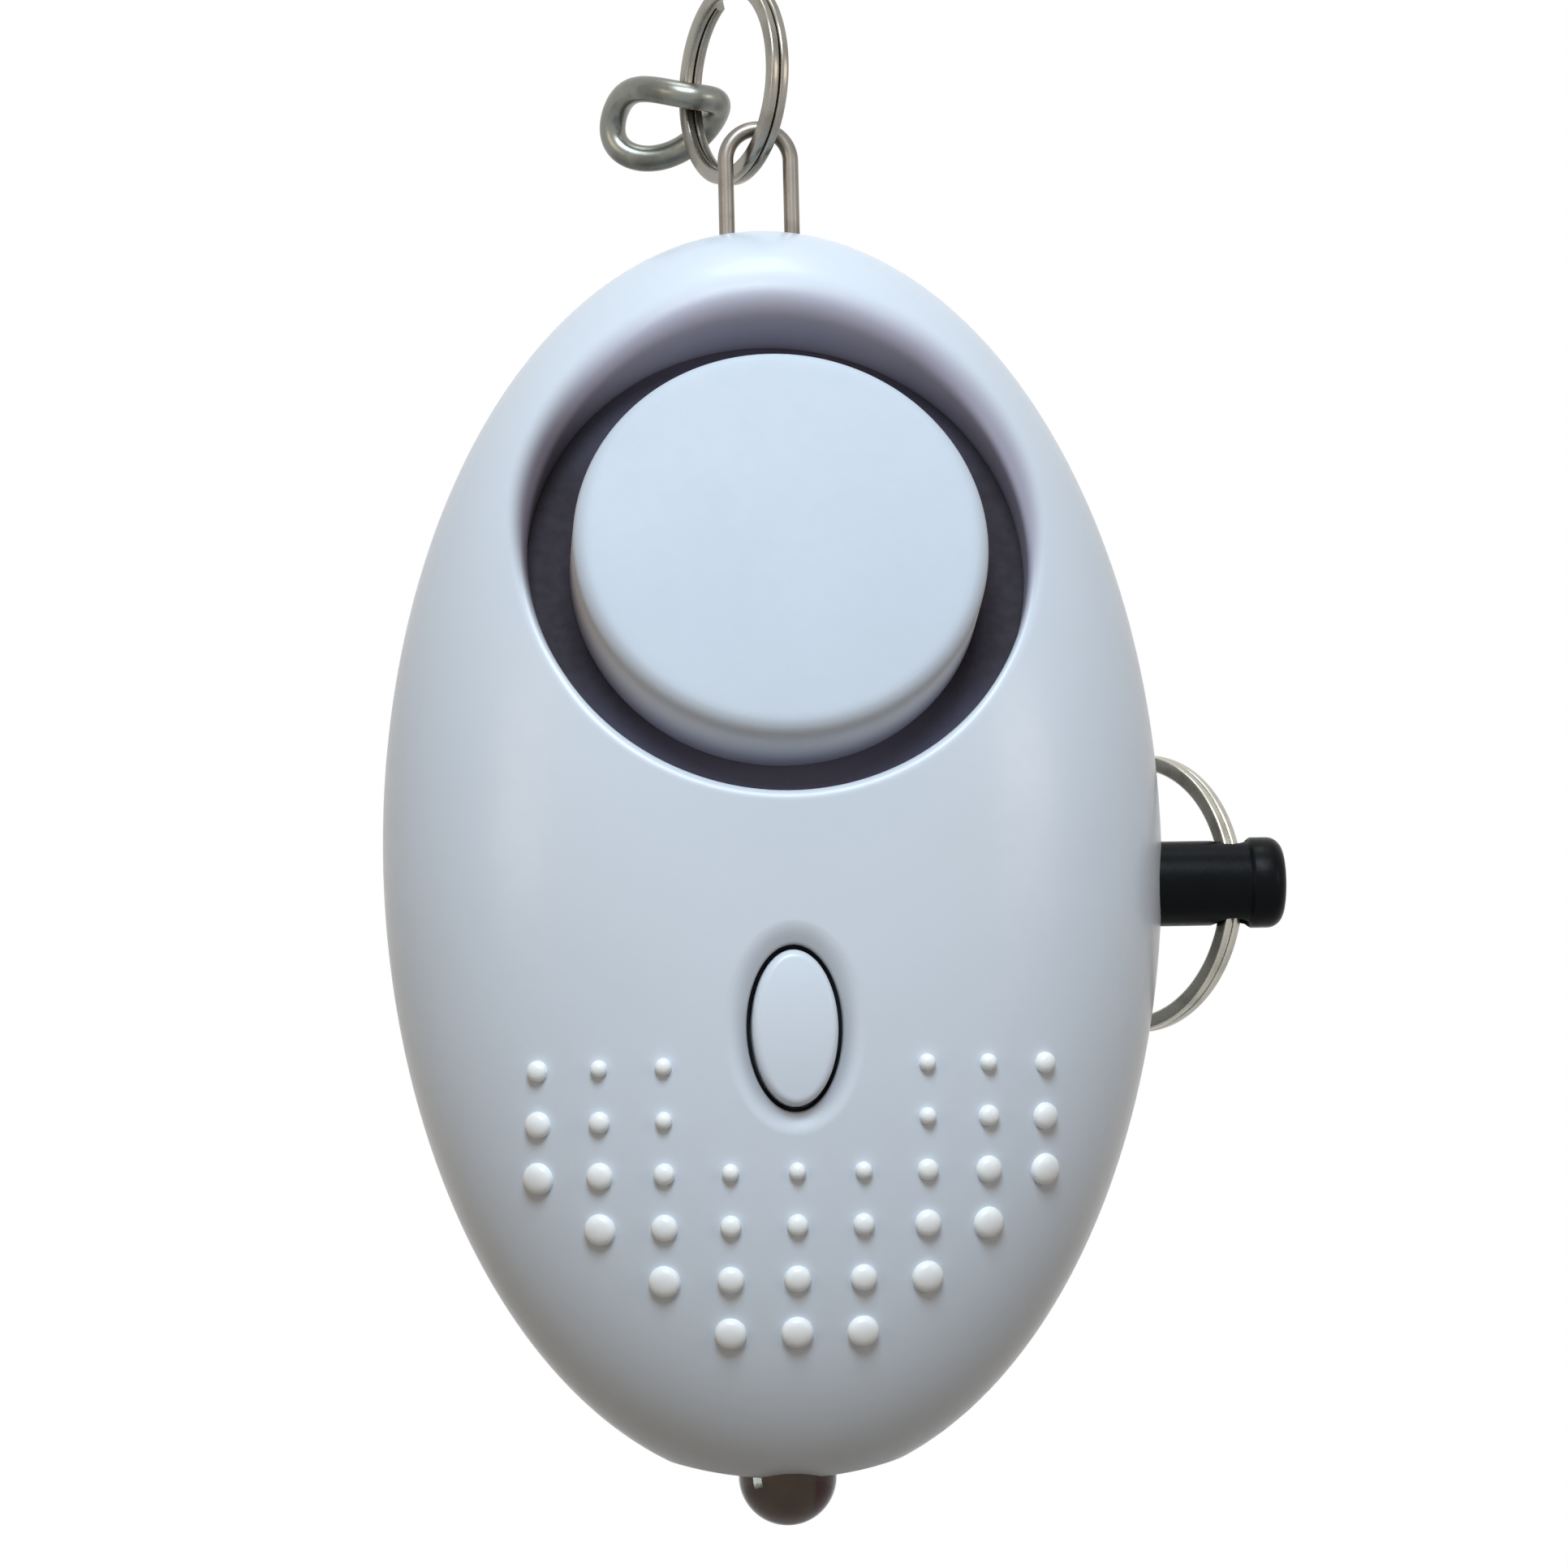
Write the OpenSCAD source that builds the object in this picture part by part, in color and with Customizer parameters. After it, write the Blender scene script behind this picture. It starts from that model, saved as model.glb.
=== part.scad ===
// Egg-shaped personal safety alarm that hangs from a small split ring.
// Pulling the side pin lets two contact leaves close and sets the siren off; the oval button lights the torch lamp.
// Sizes are in millimetres. The front faces -Y and the long axis is Z.

/* [Case] */
// Length of the egg-shaped case, top to bottom
case_len = 65; // [63:0.5:72]
// Width of the case at its widest
case_w = 40.2; // [39:0.1:44]
// Depth of the front shell, forward of the parting plane
front_bulge = 11; // [10.8:0.1:13]
// Depth of the rear shell, behind the parting plane
rear_bulge = 11; // [10.8:0.1:13]
// Flatness of both bulges: 2 is an ellipsoid, more is flatter in the middle
fullness = 2.4; // [2.2:0.1:2.8]
// Wall thickness of both shells
wall = 1.6; // [1.3:0.1:1.8]
// Depth of the flat cut at the bottom end, round the torch lamp
foot_flat = 0.5; // [0.3:0.1:0.9]

/* [Siren] */
// Distance of the siren's axis below the top of the case
siren_drop = 17.35; // [17:0.05:18]
// Upward tilt of the siren's axis, in degrees
siren_tilt = 15; // [12:0.5:16]
// Radius of the siren well in the front shell
well_r = 12.7; // [12.3:0.1:12.9]
// Depth below the siren's middle at which the well starts to flare into its lip
lip_depth = 3; // [2.8:0.1:3.4]
// Wall of the collar that lines the well
collar_wall = 1.2; // [0.9:0.1:1.4]
// Radius of the round siren cap
cap_r = 10.5; // [9.5:0.1:11]
// Height of the dome on the cap's face
cap_crown = 0.6; // [0.3:0.1:1]
// Rounding of the cap's rim
cap_round = 0.5; // [0.3:0.1:0.8]
// Wall thickness of the cap
cap_wall = 1.3; // [1:0.1:1.6]
// Depth of the sound groove below the case surface
groove_depth = 5.3; // [4.8:0.1:5.8]
// Thickness of the perforated sound ring at the bottom of the groove
sound_ring_t = 1.2; // [0.8:0.1:1.4]
// Number of sound holes in the groove
sound_holes = 24; // [12:2:30]
// Radius of a sound hole
sound_hole_r = 0.7; // [0.4:0.1:0.8]
// Radius of the piezo's brass plate
piezo_r = 13.2; // [12.9:0.1:13.6]
// Thickness of the brass plate
piezo_t = 0.25; // [0.2:0.05:0.4]
// Radius of the piezo's ceramic disc
ceramic_r = 10; // [8:0.5:11]
// Thickness of the ceramic disc
ceramic_t = 0.25; // [0.2:0.05:0.4]
// Thickness of the rubber gasket behind the piezo
gasket_t = 1.4; // [1:0.1:1.6]
// Width of the gasket's band
gasket_w = 1.8; // [1.2:0.1:2.4]

/* [Grip dots] */
// Spacing of the dot columns
dot_pitch_x = 3.32; // [3.1:0.02:3.4]
// Spacing of the dot rows
dot_pitch_z = 2.64; // [2.5:0.02:2.75]
// Closing up of the outer dot columns
dot_close = 0.009; // [0:0.001:0.012]
// Distance of the first dot row below the middle of the case
dots_below = 11.5; // [11:0.1:12]
// Diameter of the lowest dot in a column
dot_d = 1.6; // [1.3:0.05:1.8]
// Loss of diameter from one dot to the next one up
dot_d_step = 0.27; // [0.15:0.01:0.3]
// Diameter of the smallest dots
dot_d_min = 0.85; // [0.7:0.05:1]

/* [Torch] */
// Distance of the button's centre below the middle of the case
button_below = 9.7; // [9.4:0.1:10.2]
// Width of the oval button
button_w = 4.4; // [4:0.1:4.8]
// Height of the oval button
button_h = 7.9; // [7.4:0.1:8.3]
// Gap round the button
button_gap = 0.2; // [0.1:0.05:0.3]
// Height of the button above the case surface
button_proud = 0.35; // [0.1:0.05:0.6]
// Width of the flange that keeps the button in the case
button_flange = 0.8; // [0.5:0.1:1]
// Thickness of that flange
button_flange_t = 0.7; // [0.5:0.1:0.9]
// Travel of the button
button_travel = 0.5; // [0.2:0.05:0.6]
// Height of the push switch, from the board to its plunger's top
switch_h = 2.7; // [2.5:0.1:3]
// Side of the push switch's square body
switch_side = 6; // [5:0.1:6.4]
// Radius of the push switch's plunger
plunger_r = 1.65; // [1.2:0.05:1.8]
// Diameter of the torch lamp's lens
lamp_d = 5; // [4.6:0.1:5.2]
// Diameter of the lamp's flange
lamp_flange_d = 5.8; // [5.4:0.1:6]
// Thickness of the lamp's flange
lamp_flange_t = 1; // [0.8:0.1:1.2]
// Length of the lamp, flange to tip
lamp_len = 8.6; // [8:0.1:9]
// Length of the lamp's dome that stands out of the case
lamp_out = 2.4; // [2:0.1:2.8]
// Thickness of the lamp's leads
lead_d = 0.5; // [0.4:0.05:0.6]
// Spacing of the lamp's leads
lead_pitch = 2.54; // [2.2:0.02:2.8]

/* [Pull pin] */
// Distance of the pin's axis below the middle of the case
pin_below = 1.9; // [1.7:0.1:2.1]
// Radius of the pin's barrel
pin_r = 2.2; // [2:0.05:2.4]
// Radius of the pin's knob
knob_r = 2.35; // [2.2:0.05:2.5]
// Length of the knob
knob_len = 1.75; // [1.4:0.05:2.2]
// Rounding of the knob's end
knob_round = 0.8; // [0.4:0.1:1]
// Length of the pin outside the case
pin_out = 6.3; // [6:0.05:7]
// Length of the barrel inside the case
barrel_in = 3; // [2.6:0.1:3.4]
// Radius of the insulating tip at its root
tip_r = 1.5; // [1.4:0.05:1.7]
// Radius of the insulating tip at its end
tip_end_r = 0.9; // [0.7:0.05:1]
// Length of the insulating tip
tip_len = 7.2; // [6.8:0.1:7.6]
// Distance of the ring's hole from the case
ring_hole_out = 3.6; // [3.4:0.05:3.9]
// Radius of the ring's hole in the pin
ring_hole_r = 1.05; // [1:0.05:1.2]
// Distance that the pin is pulled
pin_travel = 16; // [15:0.5:20]

/* [Contacts] */
// Length of a contact leaf, pivot to contact
leaf_len = 4.4; // [4:0.1:4.8]
// Thickness of a contact leaf
leaf_t = 0.25; // [0.15:0.05:0.3]
// Width of a contact leaf
leaf_w = 2; // [1.5:0.1:2.4]
// Radius of the rounded contact at the leaf's end
contact_r = 0.5; // [0.4:0.05:0.6]
// Radius of the roll at the leaf's pivot
leaf_roll_r = 0.35; // [0.25:0.05:0.45]
// Thickness of the pin socket's base and end walls
socket_wall = 1.2; // [1:0.1:1.4]

/* [Rings and bail] */
// Outer radius of the split key ring
key_ring_r = 5.4; // [5:0.05:6]
// Outer radius of the split ring on the pin
pin_ring_r = 7.3; // [6.8:0.1:8.5]
// Width of the ring wire across the ring
ring_band = 0.8; // [0.7:0.05:0.85]
// Thickness of one turn of the ring wire
coil_t = 0.5; // [0.4:0.02:0.54]
// Gap between the two turns of a split ring
coil_gap = 0.05; // [0.04:0.01:0.08]
// Turn of the key ring away from facing forward, in degrees
key_ring_turn = 67; // [60:1:70]
// Angle from the key ring's lowest point to where the bail bears on it, in degrees
key_ring_hang = 26; // [10:1:30]
// Distance of the key ring from the middle of the bail, to the left
key_ring_aside = 0.2; // [0:0.05:0.35]
// Turn of the pin's ring away from facing forward, in degrees
pin_ring_turn = 54; // [50:1:70]
// Distance of the pin ring's wire from the axis of its hole
pin_ring_off = 0.15; // [0:0.05:0.2]
// Diameter of the bail wire
bail_wire = 0.82; // [0.7:0.02:0.86]
// Spacing of the bail's legs
bail_w = 3.4; // [3.3:0.05:4]
// Height of the bail's crown above the case
bail_rise = 5.5; // [5:0.1:6]
// Length of the bail's outward feet inside the case
bail_foot = 1.4; // [1:0.1:1.6]
// Length of the chain link
link_len = 8; // [7.6:0.1:9]
// Width of the chain link
link_w = 5.6; // [5.4:0.1:6.4]
// Diameter of the link's wire
link_wire = 1.4; // [1.1:0.05:1.5]
// Twist of the link's free end against the end on the ring, in degrees
link_twist = -78; // [-85:1:0]
// Place of the link round the key ring, in degrees below its left side
link_place = 4; // [0:1:8]
// Droop of the link's free end, in degrees
link_droop = 10; // [5:1:20]
// Turn of the link towards the front, in degrees
link_turn = 28; // [15:1:35]

/* [Power] */
// Diameter of a button cell
cell_d = 11.6; // [11.4:0.1:11.8]
// Height of a button cell
cell_t = 5.4; // [5.2:0.1:5.6]
// Distance of the cells' upper edge below the pin socket
cells_below = 1.05; // [1:0.05:1.4]
// Thickness of the cradle's web between the board and the cells
cradle_web = 0.35; // [0.3:0.05:0.5]
// Thickness of the cradle's end walls
cradle_end = 1; // [0.8:0.1:1.2]
// Thickness of a battery contact
contact_t = 0.3; // [0.2:0.05:0.4]
// Room for each battery contact at the end of the cells
contact_room = 1.2; // [1:0.1:1.4]
// Side of a battery contact's square plate
plate_side = 6; // [5:0.2:7]
// Width of the bent leaf on the sprung contact
plate_leaf_w = 3; // [2:0.2:4]
// Thickness of the cradle's walls above and below the cells
cradle_side = 0.8; // [0.6:0.1:1]
// Width of the battery cover
cover_w = 24; // [23:0.5:25]
// Height of the battery cover
cover_h = 18.6; // [18.2:0.1:19.4]
// Rounding of the cover's corners
cover_round = 8; // [7.5:0.1:8.5]
// Depth of the ledge below the crown of the rear shell
cover_depth = 4.8; // [4.4:0.1:5]
// Width of the ledge that the cover sits on
ledge_w = 1; // [0.8:0.1:1.2]
// Thickness of that ledge
ledge_t = 1.6; // [1.2:0.1:1.8]
// Gap round the battery cover
cover_gap = 0.15; // [0.1:0.05:0.25]
// Travel of the battery cover when it is lifted off
cover_travel = 12; // [8:1:16]

/* [Board and fasteners] */
// Thickness of the circuit board
board_t = 1; // [0.8:0.1:1.2]
// Gap between the board's edge and the shell
board_gap = 0.5; // [0.4:0.1:0.8]
// Radius of a screw's shank
screw_r = 0.85; // [0.7:0.05:0.95]
// Radius of a screw's head
screw_head_r = 1.7; // [1.4:0.05:1.8]
// Height of a screw's head
screw_head_h = 1.1; // [0.8:0.1:1.3]
// Length of a case screw's shank
screw_len = 7; // [6:0.2:7.4]
// Length of the cover screw's shank
cover_screw_len = 5; // [4:0.2:5.4]
// Radius of a screw boss
boss_r = 1.9; // [1.8:0.05:2.1]
// Radius of the rear shell's bosses round the screw heads
head_boss_r = 2.4; // [2.3:0.05:2.6]
// Radius of the posts that the board rests on
rest_r = 1.5; // [1.3:0.1:1.8]
// Radius of the pegs through the board
peg_r = 0.7; // [0.5:0.05:0.8]
// Diameter of the wires to the piezo
wire_d = 0.8; // [0.6:0.05:1]
// Spacing of the wires
wire_pitch = 1.6; // [1.4:0.1:2]
// Height of the wires' bends above what they are soldered to
wire_rise = 1.6; // [1.2:0.1:2]
// Distance of the wires' joints from the board's upper edge
wire_land = 1.2; // [1:0.1:1.6]
// Radius of the boost coil's core flanges
coil_r = 3; // [2.5:0.1:3.2]
// Height of the boost coil
coil_len = 4; // [3:0.1:4.4]
// Thickness of the core's flanges
coil_flange_t = 0.8; // [0.6:0.1:1]
// Distance of the coil and the transistor from the middle
coil_out = 4.8; // [4.5:0.1:5]
// Radius of the transistor
transistor_r = 2; // [1.8:0.1:2.2]
// Height of the transistor
transistor_h = 4.6; // [4:0.1:5]
// Width of the driver chip
chip_w = 4.9; // [4.5:0.1:5.2]
// Height of the driver chip's body along the board
chip_h = 3.9; // [3.5:0.1:4]
// Thickness of the driver chip
chip_t = 1.5; // [1.2:0.1:1.6]
// Spacing of the chip's legs
leg_pitch = 1.27; // [1.1:0.01:1.3]
// Distance of the driver chip from the board's side edge
chip_in = 6.2; // [5:0.1:7]
// Distance of the first small board part from the board's other side edge
small_in = 12.4; // [11:0.1:13]
// Length of a small board part
small_len = 2; // [1.6:0.1:2.2]
// Spacing of the small board parts
small_pitch = 2.2; // [1.9:0.1:2.4]

/* [Fits] */
// Clearance round pieces that slide or turn
slide_gap = 0.1; // [0.05:0.01:0.15]
// Clearance round pieces that are fixed
seat_gap = 0.05; // [0.02:0.01:0.1]

/* [Hidden] */
$fn = 64;

// Facets of the egg-shaped skins
around = 72;
skin_rows = 14;
lining_rows = 8;
oval_sides = 48;
outline_sides = 72;
embed = 0.6;
through = 30;

half_len = case_len / 2;
half_w = case_w / 2;

// Place of the siren
siren_z = half_len - siren_drop;
siren_y = -bulge_at(0, siren_z, front_bulge);
floor_w = -groove_depth;
collar_end_w = floor_w - sound_ring_t - 0.4;
piezo_rear_w = collar_end_w - piezo_t;
gasket_rear_w = piezo_rear_w - gasket_t;
gasket_r = piezo_r + 0.6;
siren_low_z = siren_z - gasket_r * cos(siren_tilt) + gasket_rear_w * sin(siren_tilt);

// Pull pin along X
pin_z = -pin_below;
pin_face_x = half_w;
pin_end_x = pin_face_x + pin_out;
barrel_end_x = pin_face_x - barrel_in;
tip_end_x = barrel_end_x - tip_len;
ring_hole_x = pin_face_x + ring_hole_out;
function tip_r_at(x) = tip_end_r + (tip_r - tip_end_r) * (x - tip_end_x) / tip_len;
contact_x = barrel_end_x - 3;
leaf_pivot_x = contact_x - leaf_len;
leaf_off = tip_r_at(contact_x) + seat_gap + contact_r;
socket_half_z = leaf_off + leaf_roll_r + 2 * leaf_roll_r;

// Stack from the button back to the battery cover
button_z = -button_below;
flange_low = button_h / 2 + button_flange;
flange_front_y = -bulge_at(0, button_z - flange_low, front_bulge, wall) + slide_gap * 2;
flange_rear_y = flange_front_y + button_flange_t;
board_front_y = flange_rear_y + switch_h;
board_rear_y = board_front_y + board_t;
board_top_z = siren_low_z - 0.4;
wire_joint_z = board_top_z - wire_land;
cells_z = pin_z - socket_half_z - cells_below - cell_d / 2;
cells_y = board_rear_y + cradle_web + seat_gap + cell_d / 2;
cells_len = 3 * cell_t;
cradle_half = cells_len / 2 + contact_room;

// Circuit board: the case outline at its depth, cut off under the siren
board_share = pow(1 - pow(-board_front_y / (front_bulge - wall), 2), 1 / fullness);
board_half_w = (half_w - wall) * board_share - board_gap;
board_half_len = (half_len - wall) * board_share - board_gap;

// Battery cover and its ledge
cover_z = cells_z + cell_d / 2 + ledge_w + 0.2 - cover_h / 2;
ledge_y = rear_bulge - cover_depth;
cover_screw_z = cover_z - cover_h / 2 + screw_head_r + 1.1;

// Case screws, two above the pin and two beside the battery cover
screw_seat_y = 3.2;
screw_spots = [for (side = [-1, 1]) each [
    [side * (half_w - wall - boss_r - 0.75), 5.5],
    [side * (cover_w / 2 + cover_gap + screw_head_r + 0.75), cells_z - 1.8]]];

// Pegs of the front shell that the board is staked on
peg_spots = [[0, board_top_z - peg_r - 0.6], [-8.2, cells_z - cell_d / 2 - 2], [8.2, cells_z - cell_d / 2 - 2]];

// Bail, key ring and hanging point
bail_crown_z = half_len + bail_rise;
bail_arc_r = bail_w / 2;
coil_pitch = coil_t + coil_gap;
ring_t = coil_t + coil_pitch;
ring_wire_r = norm([ring_t, ring_band]) / 2;
ring_mid_r = key_ring_r - ring_band / 2;
ring_slant = ring_wire_r / (sin(key_ring_turn) * cos(key_ring_hang));
ring_drop = ring_slant + bail_wire / 2 + 3 * slide_gap;
hang_x = -ring_mid_r * sin(key_ring_hang) * cos(key_ring_turn) - key_ring_aside;
hang_y = ring_mid_r * sin(key_ring_hang) * sin(key_ring_turn);
crown_fall = bail_arc_r - sqrt(pow(bail_arc_r, 2) - pow(key_ring_aside, 2));
hang_z = bail_crown_z - crown_fall - ring_drop + ring_mid_r * cos(key_ring_hang);
hang = [hang_x, hang_y, hang_z];

// Relative distance of a point from the middle of the case: 1 on the outline
function share(x, z, inset) = norm([x / (half_w - inset), z / (half_len - inset)]);

// Depth of a bulge over a point of the parting plane
function bulge_at(x, z, bulge, inset = 0) =
    (bulge - inset) * sqrt(max(0, 1 - pow(share(x, z, inset), fullness)));

// Outline of the case in the parting plane
function outline(inset, sides = outline_sides) =
    [for (i = [0 : sides - 1]) let (a = 360 * i / sides) [(half_w - inset) * cos(a), (half_len - inset) * sin(a)]];

// Height of that outline over a place across the case
function rim_z(x, inset) = (half_len - inset) * sqrt(1 - pow(x / (half_w - inset), 2));

function oval(w, h, sides = oval_sides) =
    [for (i = [0 : sides - 1]) let (a = 360 * i / sides) [w / 2 * cos(a), h / 2 * sin(a)]];

// Points of one egg-shaped skin: its pole, then rows out to the parting plane; facing is 1 at the rear, -1 in front
function skin_points(bulge, inset, rows, facing) = concat([[0, facing * (bulge - inset), 0]],
    [for (k = [1 : rows]) let (s = 90 * k / rows, reach = pow(sin(s), 2 / fullness), y = facing * (bulge - inset) * cos(s))
        for (i = [0 : around - 1]) let (a = 360 * i / around)
            [(half_w - inset) * reach * cos(a), y, (half_len - inset) * reach * sin(a)]]);

// Triangles of one skin whose pole is point number first
function skin_faces(first, rows) = concat(
    [for (i = [0 : around - 1]) [first, first + 1 + i, first + 1 + (i + 1) % around]],
    [for (k = [0 : rows - 2]) for (i = [0 : around - 1])
        let (a = first + 1 + k * around + i, b = first + 1 + k * around + (i + 1) % around)
        each [[a, a + around, b + around], [a, b + around, b]]]);

function flipped(faces) = [for (f = faces) [for (i = [len(f) - 1 : -1 : 0]) f[i]]];

// Half of the egg as a solid on one side of the parting plane
module egg_half(bulge, inset, facing) {
    last = 1 + (skin_rows - 1) * around;
    faces = concat(skin_faces(0, skin_rows), [[for (i = [around - 1 : -1 : 0]) last + i]]);
    polyhedron(skin_points(bulge, inset, skin_rows, facing), facing > 0 ? faces : flipped(faces));
}

// Half of the egg as a shell of even wall on one side of the parting plane
module egg_shell(bulge, facing) {
    outer = skin_points(bulge, 0, skin_rows, facing);
    inner = skin_points(bulge, wall, lining_rows, facing);
    rim = 1 + (skin_rows - 1) * around;
    lip = len(outer) + 1 + (lining_rows - 1) * around;
    faces = concat(
        skin_faces(0, skin_rows),
        flipped(skin_faces(len(outer), lining_rows)),
        [for (i = [0 : around - 1]) let (j = (i + 1) % around)
            each [[rim + i, lip + i, lip + j], [rim + i, lip + j, rim + j]]]);
    polyhedron(concat(outer, inner), facing > 0 ? faces : flipped(faces));
}

// Puts a shape that stands on XY, looking along +Z, on the siren's tilted axis
module on_siren() { translate([0, siren_y, siren_z]) rotate([90 - siren_tilt, 0, 0]) children(); }

// Cylinder along Y between two depths
module post(x, z, y0, y1, r) { translate([x, y0, z]) rotate([-90, 0, 0]) cylinder(r = r, h = y1 - y0); }

// Cylinder along X between two places
module bar(y, z, x0, x1, r) { translate([x0, y, z]) rotate([0, 90, 0]) cylinder(r = r, h = x1 - x0); }

// Prism along Y of an outline drawn in X and Z
module slab(y0, y1) { translate([0, y1, 0]) rotate([90, 0, 0]) linear_extrude(y1 - y0) children(); }

// Round wire through a list of points, with a slight swelling at each bend
module bent_wire(points, d) {
    for (i = [0 : len(points) - 2]) {
        run = points[i + 1] - points[i];
        translate(points[i]) rotate([0, acos(run[2] / norm(run)), atan2(run[1], run[0])])
            cylinder(d = d, h = norm(run), $fn = 24);
        if (i > 0) translate(points[i]) sphere(d = d * 1.1, $fn = 24);
    }
}

module rounded_box_2d(w, h, r) {
    square([w - 2 * r, h], center = true);
    square([w, h - 2 * r], center = true);
    for (x = [-1, 1], y = [-1, 1]) translate([x * (w / 2 - r), y * (h / 2 - r)]) circle(r);
}

// Depth at which a boss of radius r is still inside the wall, over its whole foot
function boss_root(p, bulge, r) =
    let (grow = 1 + r / norm(p)) bulge_at(p[0] * grow, p[1] * grow, bulge) - embed;

// Holes that both shells share along the parting plane
module shared_holes() {
    bar(0, pin_z, half_w / 2, pin_end_x, pin_r + slide_gap);
    for (side = [-1, 1]) translate([side * bail_w / 2, 0, half_len - wall - 2])
        cylinder(d = bail_wire + 2 * seat_gap, h = through);
    translate([0, 0, -half_len - through]) cylinder(d = lamp_d + 2 * seat_gap, h = through + wall + 2);
    translate([-half_w, -front_bulge - 1, -half_len - through + foot_flat])
        cube([case_w, front_bulge + rear_bulge + 2, through]);
}

module grip_dots() {
    for (c = [-4 : 4]) {
        first = abs(c) < 2 ? 2 : 0;
        last = min(5, 6 - abs(c));
        for (k = [first : last]) {
            x = c * dot_pitch_x - pow(c, 3) * dot_close;
            z = -dots_below - k * dot_pitch_z;
            translate([x, -bulge_at(x, z, front_bulge), z])
                sphere(d = max(dot_d_min, dot_d - (last - k) * dot_d_step), $fn = 24);
        }
    }
}

module front_shell() {
    color("gainsboro") difference() {
        union() {
            egg_shell(front_bulge, -1);
            intersection() {
                on_siren() translate([0, 0, collar_end_w]) cylinder(r = well_r + collar_wall, h = groove_depth * 2);
                egg_half(front_bulge, wall / 4, -1);
            }
            for (p = screw_spots) post(p[0], p[1], -boss_root(p, front_bulge, boss_r), 0, boss_r);
            for (p = peg_spots) {
                post(p[0], p[1], -boss_root(p, front_bulge, rest_r), board_front_y, rest_r);
                post(p[0], p[1], board_front_y - 0.5, board_rear_y, peg_r);
            }
            grip_dots();
        }
        on_siren() translate([0, 0, collar_end_w - 1]) cylinder(r = well_r, h = through);
        on_siren() translate([0, 0, -lip_depth]) cylinder(r1 = well_r, r2 = well_r + 2 * lip_depth, h = 2 * lip_depth);
        translate([0, 0, button_z]) slab(-through, board_front_y)
            polygon(oval(button_w + 2 * button_gap, button_h + 2 * button_gap));
        for (p = screw_spots) post(p[0], p[1], screw_seat_y - screw_len - 0.3, 1, screw_r + seat_gap / 2);
        shared_holes();
    }
}

// Outline of the battery cover, grown or shrunk
module cover_2d(grow) {
    translate([0, cover_z]) rounded_box_2d(cover_w + 2 * grow, cover_h + 2 * grow, cover_round + grow);
}

// Room that the cells and their contacts need
module cells_room() {
    bar(cells_y, cells_z, -cradle_half - seat_gap, cradle_half + seat_gap, cell_d / 2 + seat_gap * 4);
}

module rear_shell() {
    color("gainsboro") difference() {
        union() {
            egg_shell(rear_bulge, 1);
            intersection() {
                slab(ledge_y - ledge_t, rear_bulge) cover_2d(cover_gap + ledge_w);
                egg_half(rear_bulge, wall / 4, 1);
            }
            for (p = screw_spots) post(p[0], p[1], 0, boss_root(p, rear_bulge, head_boss_r), head_boss_r);
            post(0, cover_screw_z, ledge_y - cover_screw_len - 1, ledge_y - 0.5, boss_r);
        }
        slab(ledge_y, through) cover_2d(cover_gap);
        cells_room();
        difference() {
            slab(ledge_y - ledge_t - 1, ledge_y + 1) cover_2d(-ledge_w);
            post(0, cover_screw_z, ledge_y - through, ledge_y, boss_r + ledge_w);
        }
        post(0, cover_screw_z, ledge_y - cover_screw_len - 0.3, through, screw_r + seat_gap / 2);
        for (p = screw_spots) {
            post(p[0], p[1], -1, through, screw_r + slide_gap);
            post(p[0], p[1], screw_seat_y, through, screw_head_r + slide_gap * 2);
        }
        shared_holes();
    }
}

module battery_cover() {
    color("gainsboro") difference() {
        intersection() {
            slab(ledge_y, through) cover_2d(0);
            egg_half(rear_bulge, 0, 1);
        }
        cells_room();
        post(0, cover_screw_z, 0, through, screw_r + slide_gap);
        post(0, cover_screw_z, ledge_y + 1, through, screw_head_r + slide_gap * 2);
    }
}

// Cross-head screw along -Y with the underside of its head on y
module cross_screw(x, z, y, length) {
    difference() {
        union() {
            post(x, z, y, y + screw_head_h, screw_head_r);
            post(x, z, y - length, y + screw_head_h / 2, screw_r);
        }
        for (turn = [0, 90]) translate([x, y + screw_head_h, z]) rotate([0, turn, 0])
            cube([screw_head_r * 1.2, screw_head_h, screw_head_r * 0.3], center = true);
    }
}

module cover_screw() { color("silver") cross_screw(0, cover_screw_z, ledge_y + 1, cover_screw_len + 1); }

module case_screws() {
    color("silver") for (p = screw_spots) cross_screw(p[0], p[1], screw_seat_y, screw_len);
}

// Half profile of the siren cap: domed face, rounded rim, hollow underneath
module cap_profile() {
    dome_r = (pow(cap_r, 2) + pow(cap_crown, 2)) / (2 * cap_crown);
    difference() {
        intersection() {
            translate([0, floor_w]) square([cap_r, -floor_w]);
            translate([0, -dome_r]) circle(dome_r, $fn = 400);
            union() {
                translate([0, floor_w]) square([cap_r, -floor_w - cap_crown - cap_round]);
                translate([0, floor_w]) square([cap_r - cap_round, -floor_w]);
                translate([cap_r - cap_round, -cap_crown - cap_round]) circle(cap_round);
            }
        }
        translate([0, floor_w - 1]) square([cap_r - cap_wall, -floor_w - cap_crown - cap_wall + 1]);
    }
}

module siren_cap() { color("gainsboro") on_siren() rotate_extrude() cap_profile(); }

module sound_ring() {
    hole_ring_r = (cap_r + well_r) / 2;
    color("#26262a") on_siren() translate([0, 0, floor_w - sound_ring_t]) difference() {
        cylinder(r = well_r - seat_gap, h = sound_ring_t);
        translate([0, 0, -1]) cylinder(r = cap_r - cap_wall - 0.4, h = sound_ring_t + 2);
        for (i = [0 : sound_holes - 1]) rotate([0, 0, 360 * i / sound_holes])
            translate([hole_ring_r, 0, -1]) cylinder(r = sound_hole_r, h = sound_ring_t + 2, $fn = 16);
    }
}

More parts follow.
